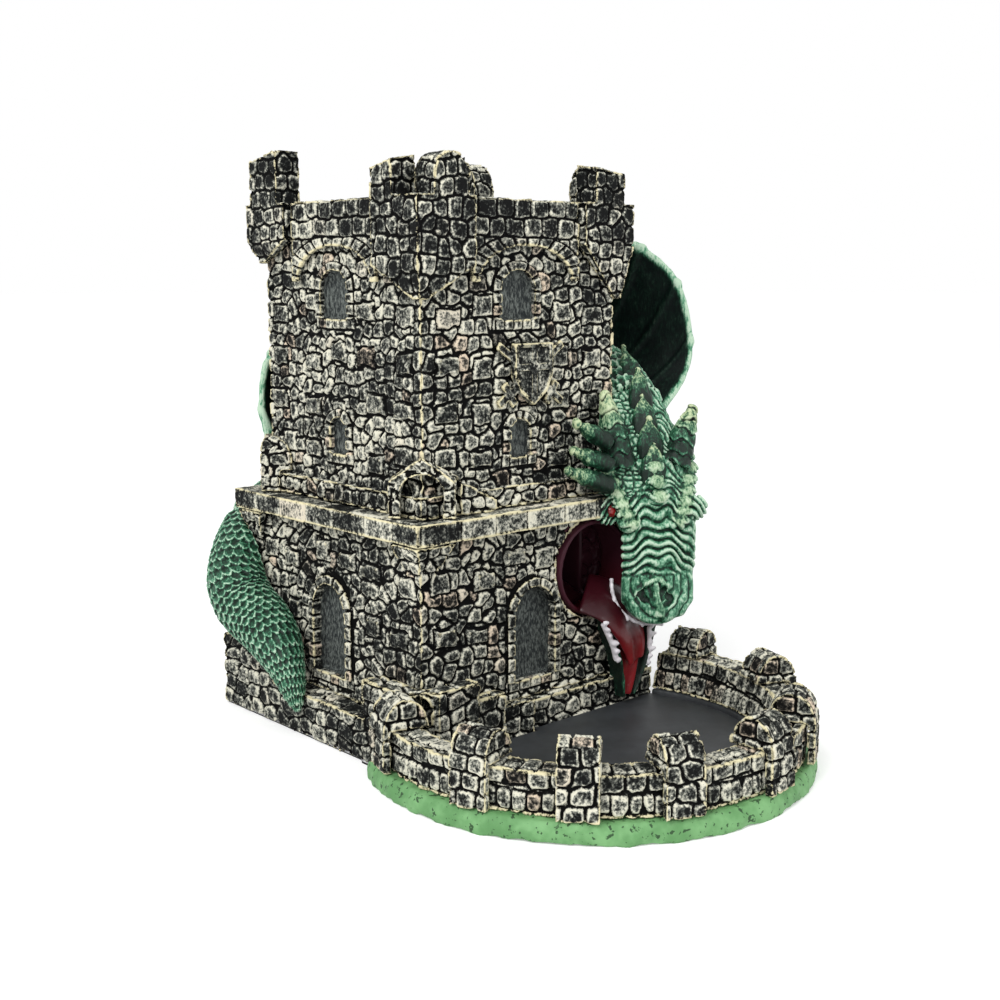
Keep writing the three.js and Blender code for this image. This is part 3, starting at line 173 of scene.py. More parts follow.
def arch(centre, half, bottom, spring, rise, width, stone, surface, seed, ceiling=1e9):
    """Ring of wedge stones round an arched opening of every face, with slate in the opening."""

    def over(points, gap, tone, tint, slate):
        face, along, out = face_frame(points)
        high = points[:, 2] + 0.5 * (noise(points, 5.0, seed + 9) - 0.5)
        side = along - centre
        above = high > spring
        round_away = np.hypot(side / half, (high - spring) / rise) - 1
        round_away = round_away * (half + rise) / 2
        beside = np.abs(side) - half
        away = np.where(above, round_away, beside)
        under = high < bottom
        away = np.where(under, np.maximum(beside, bottom - high), away)
        angle = np.arctan2(np.maximum(high - spring, 0) / rise, np.abs(side) / half)
        run = np.where(above, spring + angle * (half + rise) / 2, high)
        run = np.where(under, bottom - SILL_START - side, run)
        spot = run / stone
        number = np.floor(spot)
        edge = np.minimum(spot - number, number + 1 - spot) * stone
        ring_gap = np.minimum(np.minimum(edge, width - away), ceiling - high)
        below = high < ceiling
        outside = below & (out > surface - REVEAL)
        ring = (away > -1.0) & (away < width) & outside
        lot = np.sign(side) + 4 * face
        around = (away >= width) & outside
        gap = np.where(around, np.minimum(gap, away - width), gap)
        gap = np.where(ring, np.maximum(ring_gap, 0), gap)
        tone = np.where(ring, 0.35 + 0.6 * scatter(number, lot, seed=seed), tone)
        tint = np.where(ring, scatter(number, lot, seed=seed + 1), tint)
        hollow = (away < 0.6) & (out < surface - REVEAL) & below
        gap = np.where(hollow, 2.5, gap)
        slate = np.where(hollow, 1.0, slate)
        return gap, tone, tint, slate

    return over


def proud_stones(half, bottom, top, seed):
    """The squared stones that stand out of a storey's walls, one at most in each part of a grid."""

    def over(points, gap, tone, tint, slate):
        face, along, out = face_frame(points)
        high = points[:, 2]
        columns = int(2 * half // STONE_PITCH)
        rows = int((top - bottom) // STONE_PITCH)
        wide = (2 * half - 2 * STONE_MARGIN) / columns
        tall = (top - bottom - 2 * STONE_MARGIN) / rows
        column = np.clip(np.floor((along + half - STONE_MARGIN) / wide), 0, columns - 1)
        row = np.clip(np.floor((high - bottom - STONE_MARGIN) / tall), 0, rows - 1)
        number = (face * rows + row) * columns + column + 1
        aside, above, longer = (np.mod(number * share, 1) - 0.5 for share in STONE_SPREAD)
        across = -half + STONE_MARGIN + wide * (column + 0.5 + STONE_SCATTER * aside)
        level = bottom + STONE_MARGIN + tall * (row + 0.5 + STONE_SCATTER * above)
        half_length = STONE_LENGTH * (1 + STONE_VARIETY * longer) / 2
        half_height = STONE_HEIGHT * (1 - STONE_VARIETY * longer) / 2
        away = np.maximum(np.abs(along - across) - half_length, np.abs(high - level) - half_height)
        away = away + 1.3 * (noise(points, 2.2, seed + 3) - 0.5)
        near = (out > half - 2) & (high > bottom) & (high < top)
        edge = away - STONE_JOINT
        gap = np.where(near & (edge >= 0), np.minimum(gap, edge), gap)
        stone = near & (edge < 0)
        gap = np.where(stone, -edge, gap)
        tone = np.where(stone, 0.3 + 0.7 * scatter(number, seed=seed), tone)
        tint = np.where(stone, scatter(number, seed=seed + 1), tint)
        return gap, tone, tint, slate

    return over


def two_courses(upper, lower, border):
    """Broad blocks above a border and narrow upright ones below it."""

    def at(points, normals):
        high = points[:, 2] + 0.8 * (noise(points, 4.0, 707) - 0.5)
        pairs = zip(upper(points, normals), lower(points, normals))
        gap, tone, tint = (np.where(high > border, *pair) for pair in pairs)
        return np.minimum(gap, np.abs(high - border)), tone, tint

    return at


class Skin:
    """A mesh as arrays, in mm: corners, quads as a face list, and values per corner."""

    def __init__(self, points, faces):
        self.points = points
        self.faces = faces
        self.values = {}

    def normals(self):
        a, b, c, d = (self.points[self.faces[:, n]] for n in range(4))
        normal = np.cross(c - a, d - b)
        total = np.zeros_like(self.points)
        for n in range(4):
            for axis in range(3):
                total[:, axis] += np.bincount(self.faces[:, n], normal[:, axis], len(self.points))
        length = np.linalg.norm(total, axis=1, keepdims=True)
        return total / np.maximum(length, 1e-12)

    def smoothed(self, values, rounds):
        """Values after each has been replaced by its neighbours' mean, a number of times."""
        start = self.faces.ravel()
        end = np.roll(self.faces, -1, axis=1).ravel()
        total = len(values)
        count = np.maximum(np.bincount(np.concatenate([start, end]), minlength=total), 1)
        columns = values.reshape(total, -1).T
        for _ in range(rounds):
            columns = [
                (np.bincount(start, column[end], total) + np.bincount(end, column[start], total)) / count
                for column in columns
            ]
        return np.stack(columns, axis=1).reshape(values.shape)

    def soften(self, rounds):
        self.points = self.smoothed(self.points, rounds)
        return self

    def bulge(self, rounds):
        """How far each corner stands out of the smoothed skin, in mm."""
        away = self.points - self.smoothed(self.points, rounds)
        return (away * self.normals()).sum(axis=1)

    def raise_by(self, height):
        self.points = self.points + self.normals() * height[:, None]

    def kept(self, mask):
        """The part of the skin whose faces the mask picks."""
        faces = self.faces[mask]
        used, fresh = np.unique(faces, return_inverse=True)
        part = Skin(self.points[used], fresh.reshape(faces.shape))
        part.values = {name: values[used] for name, values in self.values.items()}
        return part

    def centres(self):
        return self.points[self.faces].mean(axis=1)


def add_object(name, data):
    thing = bpy.data.objects.new(name, data)
    bpy.context.scene.collection.objects.link(thing)
    return thing


def show(skin, name, node, slot, look=None, body="tower"):
    """Makes a piece of a skin, in place of a CAD node; look is its paint where the slot's isn't."""
    mesh = bpy.data.meshes.new(name)
    corners = skin.faces.astype(np.int32).ravel()
    mesh.vertices.add(len(skin.points))
    mesh.vertices.foreach_set("co", (skin.points * MM).astype(np.float32).ravel())
    mesh.loops.add(len(corners))
    mesh.loops.foreach_set("vertex_index", corners)
    mesh.polygons.add(len(skin.faces))
    mesh.polygons.foreach_set("loop_start", np.arange(0, len(corners), 4, dtype=np.int32))
    mesh.update(calc_edges=True)
    mesh.validate()
    for key, values in skin.values.items():
        layer = mesh.attributes.new(key, "FLOAT", "POINT")
        layer.data.foreach_set("value", values.astype(np.float32))
    mesh.polygons.foreach_set("use_smooth", np.full(len(mesh.polygons), True))
    thing = add_object(name, mesh)
    mesh.materials.append(paint[look or slot])
    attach(thing, body)
    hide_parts(node)


class Clay:
    """Closed forms that are remeshed together into one skin."""

    def __init__(self):
        self.forms = []

    def add(self, points, faces):
        mesh = bpy.data.meshes.new("clay")
        mesh.from_pydata([tuple(p) for p in points * MM], [], faces)
        self.forms.append((mesh, True))
        return self

    def node(self, *names):
        self.forms += [(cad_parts[name].data, False) for name in names]
        return self

    def limb(self, path, radii, sides=18, across=(0.13, 0.21, 0.97), flat=1.0):
        """Round limb along a path; flat squeezes it across the given direction."""
        path = smooth_path(path, 4 * len(path))
        radii = np.interp(np.linspace(0, 1, len(path)), np.linspace(0, 1, len(radii)), radii)
        ahead = unit_length(np.gradient(path, axis=0))
        first = unit_length(np.cross(ahead, across))
        second = np.cross(first, ahead)
        angles = np.linspace(0, 2 * np.pi, sides, endpoint=False)
        rings = [
            centre + r * (np.outer(np.cos(angles), a) + flat * np.outer(np.sin(angles), b))
            for centre, r, a, b in zip(path, radii, first, second)
        ]
        last = (len(path) - 1) * sides
        faces = [
            (low + n, low + (n + 1) % sides, low + sides + (n + 1) % sides, low + sides + n)
            for low in range(0, last, sides)
            for n in range(sides)
        ]
        faces += [tuple(range(sides))[::-1], tuple(range(last, last + sides))]
        return self.add(np.concatenate(rings), faces)

    def ball(self, centre, radii, axes=np.eye(3), sides=18):
        """Ellipsoid with the given radii along three axes."""
        rows = sides // 2
        spin = np.linspace(0, 2 * np.pi, sides, endpoint=False)
        round_x, round_y = np.cos(spin), np.sin(spin)
        rings = []
        for row in range(1, rows):
            high, wide = np.cos(np.pi * row / rows), np.sin(np.pi * row / rows)
            rings.append(np.stack([wide * round_x, wide * round_y, np.full(sides, high)]).T)
        unit = np.concatenate([[[0, 0, 1]], *rings, [[0, 0, -1]]])
        points = centre + (unit * radii) @ axes
        faces = [(0, 1 + n, 1 + (n + 1) % sides) for n in range(sides)]
        last, start = len(unit) - 1, 1 + (rows - 2) * sides
        faces += [
            (low + n, low + sides + n, low + sides + (n + 1) % sides, low + (n + 1) % sides)
            for low in range(1, start, sides)
            for n in range(sides)
        ]
        faces += [(last, start + (n + 1) % sides, start + n) for n in range(sides)]
        return self.add(points, faces)

    def skin(self, voxel, rounds=0):
        """One closed skin round all the forms, with faces about voxel mm wide."""
        points, faces = [], []
        for mesh, _ in self.forms:
            start = len(points)
            points += [tuple(vertex.co) for vertex in mesh.vertices]
            faces += [tuple(start + index for index in face.vertices) for face in mesh.polygons]
        source = bpy.data.meshes.new("clay_source")
        source.from_pydata(points, [], faces)
        thing = add_object("clay_source", source)
        change = thing.modifiers.new("remesh", "REMESH")
        change.mode = "VOXEL"
        change.voxel_size = voxel * MM
        shown = thing.evaluated_get(bpy.context.evaluated_depsgraph_get())
        mesh = shown.to_mesh()
        places = np.empty(len(mesh.vertices) * 3, np.float32)
        mesh.vertices.foreach_get("co", places)
        index = np.empty(len(mesh.loops), np.int32)
        mesh.loops.foreach_get("vertex_index", index)
        shown.to_mesh_clear()
        bpy.data.objects.remove(thing)
        bpy.data.meshes.remove(source)
        for mesh, own in self.forms:
            if own:
                bpy.data.meshes.remove(mesh)
        skin = Skin(places.reshape(-1, 3).astype(float) / MM, index.reshape(-1, 4).astype(np.int64))
        return skin.soften(rounds)


def smooth_path(path, count):
    """A number of points along a smooth curve through the path."""
    path = np.array(path, float)
    if len(path) == 2:
        return path[0] + np.linspace(0, 1, count)[:, None] * (path[1] - path[0])
    padded = np.concatenate([[2 * path[0] - path[1]], path, [2 * path[-1] - path[-2]]])
    # The last spot stays just short of the end, where no stretch of the path begins
    spot = np.linspace(0, len(path) - 1.0001, count)
    place = spot.astype(int)
    t = (spot - place)[:, None]
    a, b, c, d = (padded[place + n] for n in range(4))
    square, cube = 2 * a - 5 * b + 4 * c - d, 3 * b - a - 3 * c + d
    return 0.5 * (2 * b + (c - a) * t + square * t**2 + cube * t**3)


def along_path(points, path):
    """Distance along a path and angle round it, for each point."""
    path = smooth_path(path, 160)
    steps = np.linalg.norm(np.diff(path, axis=0), axis=1)
    run = np.concatenate([[0], np.cumsum(steps)])
    ahead = unit_length(np.gradient(path, axis=0))
    nearest = np.zeros(len(points), int)
    best = np.full(len(points), 1e9)
    for number, spot in enumerate(path):
        away = ((points - spot) ** 2).sum(axis=1)
        closer = away < best
        best = np.where(closer, away, best)
        nearest = np.where(closer, number, nearest)
    away = points - path[nearest]
    tangent = ahead[nearest]
    forward = (away * tangent).sum(axis=1)
    side = unit_length(np.cross((0, 0, 1.0), tangent))
    up = np.cross(tangent, side)
    angle = np.arctan2((away * up).sum(axis=1), (away * side).sum(axis=1))
    return run[nearest] + forward, angle


# Stone
def carve(skin, pattern, *features, depth=0.9, rough=0.25, sink=0.2, lift=0.45):
    """Cuts joints between the blocks, with the features laid over them, and roughens their faces."""
    gap, tone, tint = pattern(skin.points, skin.smoothed(skin.normals(), 3))
    slate = np.zeros(len(skin.points))
    for feature in features:
        gap, tone, tint, slate = feature(skin.points, gap, tone, tint, slate)
    corner = skin.bulge(16)
    dome = ease(gap, 0.1, 0.65)
    chipped = layered_noise(skin.points, 1.5, 91) - 0.5
    height = (dome - 1) * depth + (tone - 0.5) * lift * dome - sink
    height += rough * 2 * chipped * (0.4 + 0.6 * dome)
    height = np.where(slate > 0.5, -0.2 + 0.2 * chipped, height)
    skin.raise_by(height)
    close, wide = skin.bulge(3), skin.bulge(14)
    skin.values = {
        "gap": np.clip(gap, 0, 3),
        "tone": tone,
        "tint": tint,
        "slate": slate,
        "rim": np.clip(close * 7 + wide * 1.6, -1, 1.5),
        "arris": np.clip(corner * 2.5, -1, 2),
    }
    return skin


class Nodes:
    """Short forms for building a tree of shader nodes."""

    def __init__(self, tree):
        self.nodes, self.links = tree.nodes, tree.links

    def put(self, socket, source):
        """Links another node's output to a socket, or sets it to a number or a colour."""
        if hasattr(source, "links"):
            self.links.new(source, socket)
        else:
            socket.default_value = (*source, 1) if isinstance(source, tuple) else source

    def math(self, kind, *sources):
        node = self.nodes.new("ShaderNodeMath")
        node.operation = kind
        for socket, source in zip(node.inputs, sources):
            self.put(socket, source)
        return node.outputs[0]


class Materials(Nodes):
    def __init__(self, name, roughness=0.7, coat=0.0, specular=0.5):
        self.material = bpy.data.materials.new(name)
        self.material.use_nodes = True
        super().__init__(self.material.node_tree)
        self.shader = self.nodes["Principled BSDF"]
        looks = {"Roughness": roughness, "Specular IOR Level": specular, "Coat Weight": coat}
        for key, value in looks.items():
            self.shader.inputs[key].default_value = value
        self.shader.inputs["Coat Roughness"].default_value = 0.2

    def value(self, key):
        node = self.nodes.new("ShaderNodeAttribute")
        node.attribute_name = key
        return node.outputs["Fac"]

    def grain(self, size, detail=3.0, stretch=(1, 1, 1)):
        """Noise from 0 to 1, with features of about size mm."""
        place = self.nodes.new("ShaderNodeTexCoord")
        mapping = self.nodes.new("ShaderNodeMapping")
        mapping.inputs["Scale"].default_value = [s / (size * MM) for s in stretch]
        texture = self.nodes.new("ShaderNodeTexNoise")
        texture.inputs["Scale"].default_value = 1.0
        texture.inputs["Detail"].default_value = detail
        texture.inputs["Roughness"].default_value = 0.65
        self.links.new(place.outputs["Object"], mapping.inputs["Vector"])
        self.links.new(mapping.outputs["Vector"], texture.inputs["Vector"])
        return texture.outputs["Fac"]

    def step(self, source, low, high):
        node = self.nodes.new("ShaderNodeMapRange")
        node.interpolation_type = "SMOOTHSTEP"
        self.put(node.inputs["Value"], source)
        node.inputs["From Min"].default_value = low
        node.inputs["From Max"].default_value = high
        return node.outputs["Result"]

    def blend(self, share, first, second, kind="MIX"):
        node = self.nodes.new("ShaderNodeMix")
        node.data_type = "RGBA"
        node.blend_type = kind
        self.put(node.inputs[0], share)
        self.put(node.inputs[6], first)
        self.put(node.inputs[7], second)
        return node.outputs[2]

    def ramp(self, source, *stops):
        """Colours from (place, colour) pairs, in order of place."""
        node = self.nodes.new("ShaderNodeValToRGB")
        elements = node.color_ramp.elements
        while len(elements) < len(stops):
            elements.new(1.0)
        for element, (place, colour) in zip(elements, stops):
            element.position = place
            element.color = (*colour, 1)
        self.put(node.inputs["Fac"], source)
        return node.outputs["Color"]

    def mixed(self, start, *terms):
        """Start plus the sum of share times (source minus middle), for (source, middle, share) terms."""
        total = start
        for source, middle, share in terms:
            term = self.math("MULTIPLY", self.math("SUBTRACT", source, middle), share)
            total = self.math("ADD", total, term)
        return total

    def bump(self, source, height):
        node = self.nodes.new("ShaderNodeBump")
        node.inputs["Distance"].default_value = height * MM
        self.put(node.inputs["Height"], source)
        self.links.new(node.outputs["Normal"], self.shader.inputs["Normal"])

    def finish(self, colour):
        self.put(self.shader.inputs["Base Color"], colour)
        return self.material


def stone_material(name, shift=0.0, warmth=0.5):
    """Black joints, dark speckled bodies and a pale dry brush along the edges of every block."""
    m = Materials(name, roughness=0.7, specular=0.07)
    speckle, patch, blotch = m.grain(0.75), m.grain(2.6), m.grain(16.0, 2.0)
    edge = m.math("MULTIPLY", m.step(m.value("gap"), 0.25, 0.4), m.step(m.value("gap"), 0.95, 0.55))
    light = m.mixed(
        0.31 + shift,
        (speckle, 0.5, 2.3),
        (patch, 0.5, 1.7),
        (blotch, 0.5, 1.2),
        (m.value("tone"), 0.5, 0.4),
        (edge, 0.3, 0.32),
        (m.value("rim"), 0.0, 0.24),
    )
    colour = m.ramp(
        light,
        (0.06, (0.006, 0.0065, 0.0065)),
        (0.28, (0.034, 0.037, 0.034)),
        (0.46, (0.12, 0.124, 0.108)),
        (0.64, (0.27, 0.272, 0.23)),
        (0.86, (0.56, 0.55, 0.46)),
        (1.0, (0.68, 0.66, 0.54)),
    )
    warm = m.math("MULTIPLY", m.step(m.value("tint"), 0.88, 0.95), warmth)
    colour = m.blend(warm, colour, m.blend(1.0, colour, (1.0, 0.7, 0.58), "MULTIPLY"))
    gold = m.math("MULTIPLY", m.step(m.value("arris"), 0.25, 0.7), m.step(light, 0.12, 0.5))
    colour = m.blend(m.math("MULTIPLY", gold, 0.85), colour, (0.74, 0.67, 0.42))
    brushmarks = m.grain(0.6, stretch=(1.0, 1.0, 0.4))
    slate = m.blend(m.step(brushmarks, 0.4, 0.68), (0.026, 0.03, 0.031), (0.16, 0.178, 0.165))
    colour = m.blend(m.value("slate"), colour, slate)
    joint = m.mixed(m.value("gap"), (speckle, 0.5, 0.7), (patch, 0.5, 0.5))
    colour = m.blend(m.step(joint, 0.43, 0.22), colour, (0.002, 0.002, 0.002))
    m.bump(speckle, 0.15)
    return m.finish(colour)


def moss_material():
    m = Materials("grass", roughness=0.6, specular=0.25)
    colour = m.blend(m.step(m.grain(9.0), 0.35, 0.65), (0.11, 0.27, 0.1), (0.19, 0.4, 0.17))
    speck = m.step(m.grain(1.6, 2.0), 0.6, 0.66)
    colour = m.blend(m.math("MULTIPLY", speck, 0.9), colour, (0.02, 0.05, 0.02))
    colour = m.blend(m.step(m.value("rim"), -0.2, -0.8), colour, (0.03, 0.13, 0.04))
    m.bump(m.grain(1.8), 0.2)
    return m.finish(colour)


def dragon_material(name, shift=0.0, stretch=(1.0, 1.0, 0.5), specular=0.3):
    """Near-black green hollows and painted shade, a mid green body, and pale paint dragged over every
    raised edge.
    """
    m = Materials(name, roughness=0.5, specular=specular)
    stroke, patch = m.grain(0.6, 4.0, stretch), m.grain(4.0)
    light = m.mixed(
        0.42 + shift,
        (m.value("rim"), 0.0, 0.5),
        (stroke, 0.5, 1.7),
        (patch, 0.5, 1.0),
        (m.value("brush"), 0.0, 1.0),
    )
    colour = m.ramp(
        light,
        (0.05, (0.002, 0.011, 0.006)),
        (0.3, (0.008, 0.05, 0.024)),
        (0.5, (0.03, 0.14, 0.075)),
        (0.72, (0.14, 0.34, 0.21)),
        (0.95, (0.46, 0.62, 0.47)),
    )
    yellow = m.math("MULTIPLY", m.value("tip"), m.step(light, 0.35, 0.75))
    colour = m.blend(yellow, colour, (0.56, 0.6, 0.34))
    # Painted shade: near-black green laid over the skin as far as its painted shade value reaches
    colour = m.blend(m.value("shade"), colour, (0.001, 0.003, 0.003))
    m.bump(stroke, 0.1)
    return m.finish(colour)


def plain_material(name, colour, other, size, roughness, coat=0.0, specular=0.5):
    m = Materials(name, roughness, coat, specular)
    return m.finish(m.blend(m.step(m.grain(size), 0.35, 0.65), colour, other))


def flesh_material(name, deep, middle, bright, specular):
    """Wet red, from a deep colour in painted shade towards the throat to a bright one in painted light.
    """
    m = Materials(name, roughness=0.3, specular=specular)
    m.bump(m.grain(3.0), 0.15)
    return m.finish(m.ramp(m.value("painted_light"), (0.0, deep), (0.5, middle), (1.0, bright)))


paint = {
    "stone": stone_material("stone"),
    "pale_stone": stone_material("pale_stone", 0.15, 0.2),
    # A darker copy of the stone paint for the crown, the turrets and the plinth; on the plinth it is
    # partly painted shade
    "darker_stone": stone_material("darker_stone", -0.11, 0.1),
    "bone": stone_material("bone", 0.16, 0.0),
    "scale": dragon_material("scale"),
    "pale_scale": dragon_material("pale_scale", -0.06),
    "grass": moss_material(),
    "mat": plain_material("mat", (0.024, 0.0265, 0.029), (0.035, 0.039, 0.043), 8.0, 0.5),
    # Near-black painted shade for the inside of the tower: the upper shaft, the ramps, the guide and the
    # plinth's faces inside and under it
    "board": plain_material("board", (0.01, 0.01, 0.011), (0.02, 0.02, 0.02), 6.0, 0.7, specular=0.15),
    "tooth": plain_material("tooth", (0.6, 0.57, 0.6), (0.78, 0.75, 0.78), 1.5, 0.4),
    "eye": plain_material("eye", (0.09, 0.003, 0.004), (0.3, 0.01, 0.011), 1.6, 0.25, 0.4),
    # Near-black red: the mouth's red with painted shade in it, also laid as painted shade on the tunnel,
    # the lower shaft and the chute
    "throat": flesh_material(
        "throat", (0.05, 0.014, 0.022), (0.045, 0.007, 0.011), (0.05, 0.004, 0.006), 0.1
    ),
    "tongue": flesh_material(
        "tongue", (0.03, 0.003, 0.006), (0.13, 0.005, 0.008), (0.28, 0.018, 0.022), 0.3
    ),
    "sail": dragon_material("sail", -0.02, (1.0, 1.0, 0.3), 0.08),
}


# Sizes that the CAD part was drawn with, in mm
WALL_HALF = 36.0
WALL_BOTTOM, WALL_TOP = 73.0, 128.0
GROUND_HALF = 39.7
GROUND_BOTTOM, GROUND_TOP = 23.5, 61.0
SHAFT_HALF = 30.0
GROUND_SHAFT_HALF = 32.0
CROWN_HALF = 38.0
FRAME_WIDTH = 3.0
MOUTH = (24.5, 46.0)
MOUTH_HALF = 15.0
CROWN_TOP = 150.0
TRAY_AXIS = (2.0, -60.0, 58.0)
TRAY_INSIDE = 53.0

# How far a skin may leave the faces of its solid, and a distance from joints where none is painted
SKIN_DEPTH = 1.0
NO_JOINT = 2.0

# The proud stones of the walls, by the rule that places them in the CAD part
STONE_PITCH = 13.0
STONE_LENGTH = 6.6
STONE_HEIGHT = 4.6
STONE_MARGIN = 1.0
STONE_SPREAD = (0.618, 0.755, 0.43)
STONE_SCATTER = 0.34
STONE_VARIETY = 0.3
STONE_JOINT = 0.45

# Arches: middle, half width, bottom, springing, rise, ring width, stone length and wall face
windows = arch(-2.0, 6.0, 118.0, 126.0, 5.0, FRAME_WIDTH, 3.3, WALL_HALF, seed=301)
slits = arch(-1.0, 3.5, 80.5, 87.5, 3.0, FRAME_WIDTH, 3.4, WALL_HALF, seed=311)
doors = arch(0.0, 7.5, 18.0, 36.0, 8.0, FRAME_WIDTH, 4.2, GROUND_HALF, seed=321)
vaults = arch(0.0, 17.0, 100.0, 128.0, 9.5, 4.6, 3.1, CROWN_HALF, seed=331, ceiling=140.0)
wall_stones = proud_stones(WALL_HALF, WALL_BOTTOM, WALL_TOP, seed=341)
ground_stones = proud_stones(GROUND_HALF, GROUND_BOTTOM, GROUND_TOP, seed=351)

rubble = blocks((5.0, 4.1, 4.2), jitter=0.7, bend=1.1, seed=11)
ground_rubble = blocks((4.6, 4.2, 4.4), jitter=0.8, bend=1.3, seed=61)
slabs = blocks((13.0, 13.0, 27.0), jitter=0.35, bend=0.3, seed=23, power=6)
courses = blocks((6.2, 6.2, 5.0), jitter=0.3, bend=0.35, seed=37, power=6)
turret_courses = blocks((5.0, 5.0, 4.8), jitter=0.5, bend=0.6, seed=41, power=5)
plinth_blocks = blocks((6.5, 6.0, 4.6), jitter=0.6, bend=1.0, seed=71)
cap_blocks = blocks((5.6, 5.6, 6.0), jitter=0.3, bend=0.4, seed=83, power=5, axis=TRAY_AXIS)
foot_blocks = blocks((3.4, 4.6, 6.2), jitter=0.5, bend=0.6, seed=85, power=5, axis=TRAY_AXIS)
tray_blocks = two_courses(cap_blocks, foot_blocks, 11.5)
merlon_blocks = blocks((5.0, 5.0, 4.75), jitter=0.35, bend=0.4, seed=89, power=5, axis=TRAY_AXIS)
niche_blocks = blocks((4.2, 4.2, 3.6), jitter=0.5, bend=0.5, seed=97, power=5)


def show_inside(skin, name, node, slot, painted_light=0.0):
    """Shows a skin of the shaft, throat or tongue, with painted light from 0, full painted shade, to 1,
    the brightest.
    """
    skin.values = {"painted_light": np.zeros(len(skin.points)) + painted_light}
    show(skin, name, node, slot)


def show_walls(node, inner_half, name, *pattern):
    """Drops the shaft side of a square storey and shows its four outer faces as pieces."""
    skin = carve(Clay().node(node).skin(FINE), *pattern)
    centre = skin.centres()
    face, _, out = face_frame(centre)
    outside = out > inner_half + SKIN_DEPTH
    # The mouth's tunnel through the lower storey is shown in the throat paint, as painted shade
    if node == "lower_storey":
        from_mouth = np.hypot(centre[:, 0] - MOUTH[0], centre[:, 2] - MOUTH[1])
        tunnel = (from_mouth < MOUTH_HALF + SKIN_DEPTH) & (out < GROUND_HALF - SKIN_DEPTH)
        tunnel |= (from_mouth < MOUTH_HALF + 0.9) & (centre[:, 1] > SKIN_DEPTH - GROUND_HALF)
        tunnel &= outside & (centre[:, 1] < 0)
        outside &= ~tunnel
        show_inside(skin.kept(tunnel), "throat_passage", node, "throat")
    for turn, side in enumerate(SIDES):
        show(skin.kept(outside & (face == turn)), f"{name}_{side}", node, "stone")


def show_shaft(node, inner_half, name, slot):
    """The plain faces of the dice shaft inside a storey, painted dark as painted shade."""
    skin = Clay().node(node).skin(ROUGH)
    _, _, out = face_frame(skin.centres())
    show_inside(skin.kept(out <= inner_half + SKIN_DEPTH), name, node, slot)


def show_stone(node, name, voxel, *pattern, slot="stone", look=None, body="tower", **carving):
    show(carve(Clay().node(node).skin(voxel), *pattern, **carving), name, node, slot, look, body)


SIDES = ("front", "left", "back", "right")
show_walls("upper_storey", SHAFT_HALF, "upper_wall", rubble, wall_stones, windows, slits)
show_walls("lower_storey", GROUND_SHAFT_HALF, "lower_wall", ground_rubble, ground_stones, doors)
# The shafts inside the tower are painted near-black and near-black red, as painted shade
show_shaft("upper_storey", SHAFT_HALF, "upper_shaft", "board")
show_shaft("lower_storey", GROUND_SHAFT_HALF, "lower_shaft", "throat")
show_stone("string_course", "ledge", MEDIUM, slabs, slot="pale_stone")
for side in SIDES:
    show_stone(f"parapet_{side}", f"crown_{side}", FINE, courses, vaults, look="darker_stone")
turret_look = {"look": "darker_stone", "depth": 0.7, "lift": 0.3}
for corner in ("front_left", "front_right", "back_left", "back_right"):
    show_stone(f"turret_{corner}", f"bartizan_{corner}", FINE, turret_courses, **turret_look)
for node, name in (("niche_front_left", "shrine_front"), ("niche_back_left", "shrine_back")):
    show_stone(node, name, FINE, niche_blocks, slot="pale_stone", depth=0.6, lift=0.2)


def below_the_tower(skin, bottom):
    """Which faces of the plinth are its underside or lie below the lower storey."""
    middle = skin.centres()
    return (np.abs(middle[:, :2]).max(axis=1) < GROUND_HALF - 2) | (middle[:, 2] < bottom)


plinth = carve(Clay().node("plinth").skin(MEDIUM), plinth_blocks)
seen = ~below_the_tower(plinth, 0.6)
on_left = plinth.centres()[:, 0] < 0
for name, half in (("base_left", on_left), ("base_right", ~on_left)):
    show(plinth.kept(seen & half), name, "plinth", "stone", "darker_stone")
# The plinth's faces inside and under the tower are painted near-black, as painted shade
plinth = Clay().node("plinth").skin(ROUGH)
show(plinth.kept(below_the_tower(plinth, 0.8)), "base_inside", "plinth", "board")

relief = Clay().node("shield_relief").skin(SMALL)
relief = carve(relief, niche_blocks, depth=0.0, rough=0.1, sink=0.0, lift=0.0)
relief.values["gap"] = np.full(len(relief.points), NO_JOINT)
show(relief, "plaque", "shield_relief", "bone")

# Tray
show_stone("tray_wall", "curtain_wall", MEDIUM, tray_blocks, body="tray")
for number in range(1, 9):
    show_stone(f"tray_merlon_{number}", f"battlement_{number}", FINE, merlon_blocks, body="tray")


def from_tray_axis(points):
    return np.hypot(*(points[:, :2] - TRAY_AXIS[:2]).T)


turf = Clay().node("tray_base").skin(COARSE).soften(2)
tufts = layered_noise(turf.points, 5.0, 5) - 0.6
turf.raise_by(tufts * 1.4 * ease(from_tray_axis(turf.points), TRAY_INSIDE + 1, TRAY_INSIDE + 4))
turf.values["rim"] = np.clip(turf.bulge(6) * 3, -1, 1)
middle = turf.centres()
inside = (from_tray_axis(middle) < TRAY_INSIDE) & (middle[:, 2] > 1.5)
show(turf.kept(~inside), "turf", "tray_base", "grass", body="tray")
show(turf.kept(inside), "tray_floor", "tray_base", "mat", body="tray")

# Smooth pieces that keep their CAD solid
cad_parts["tray_mat"].data.materials[0] = paint["mat"]
# The ramps and the guide inside the tower are painted near-black, as painted shade
for node in ("ramp_upper", "ramp_middle", "throat_guide"):
    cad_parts[node].data.materials[0] = paint["board"]


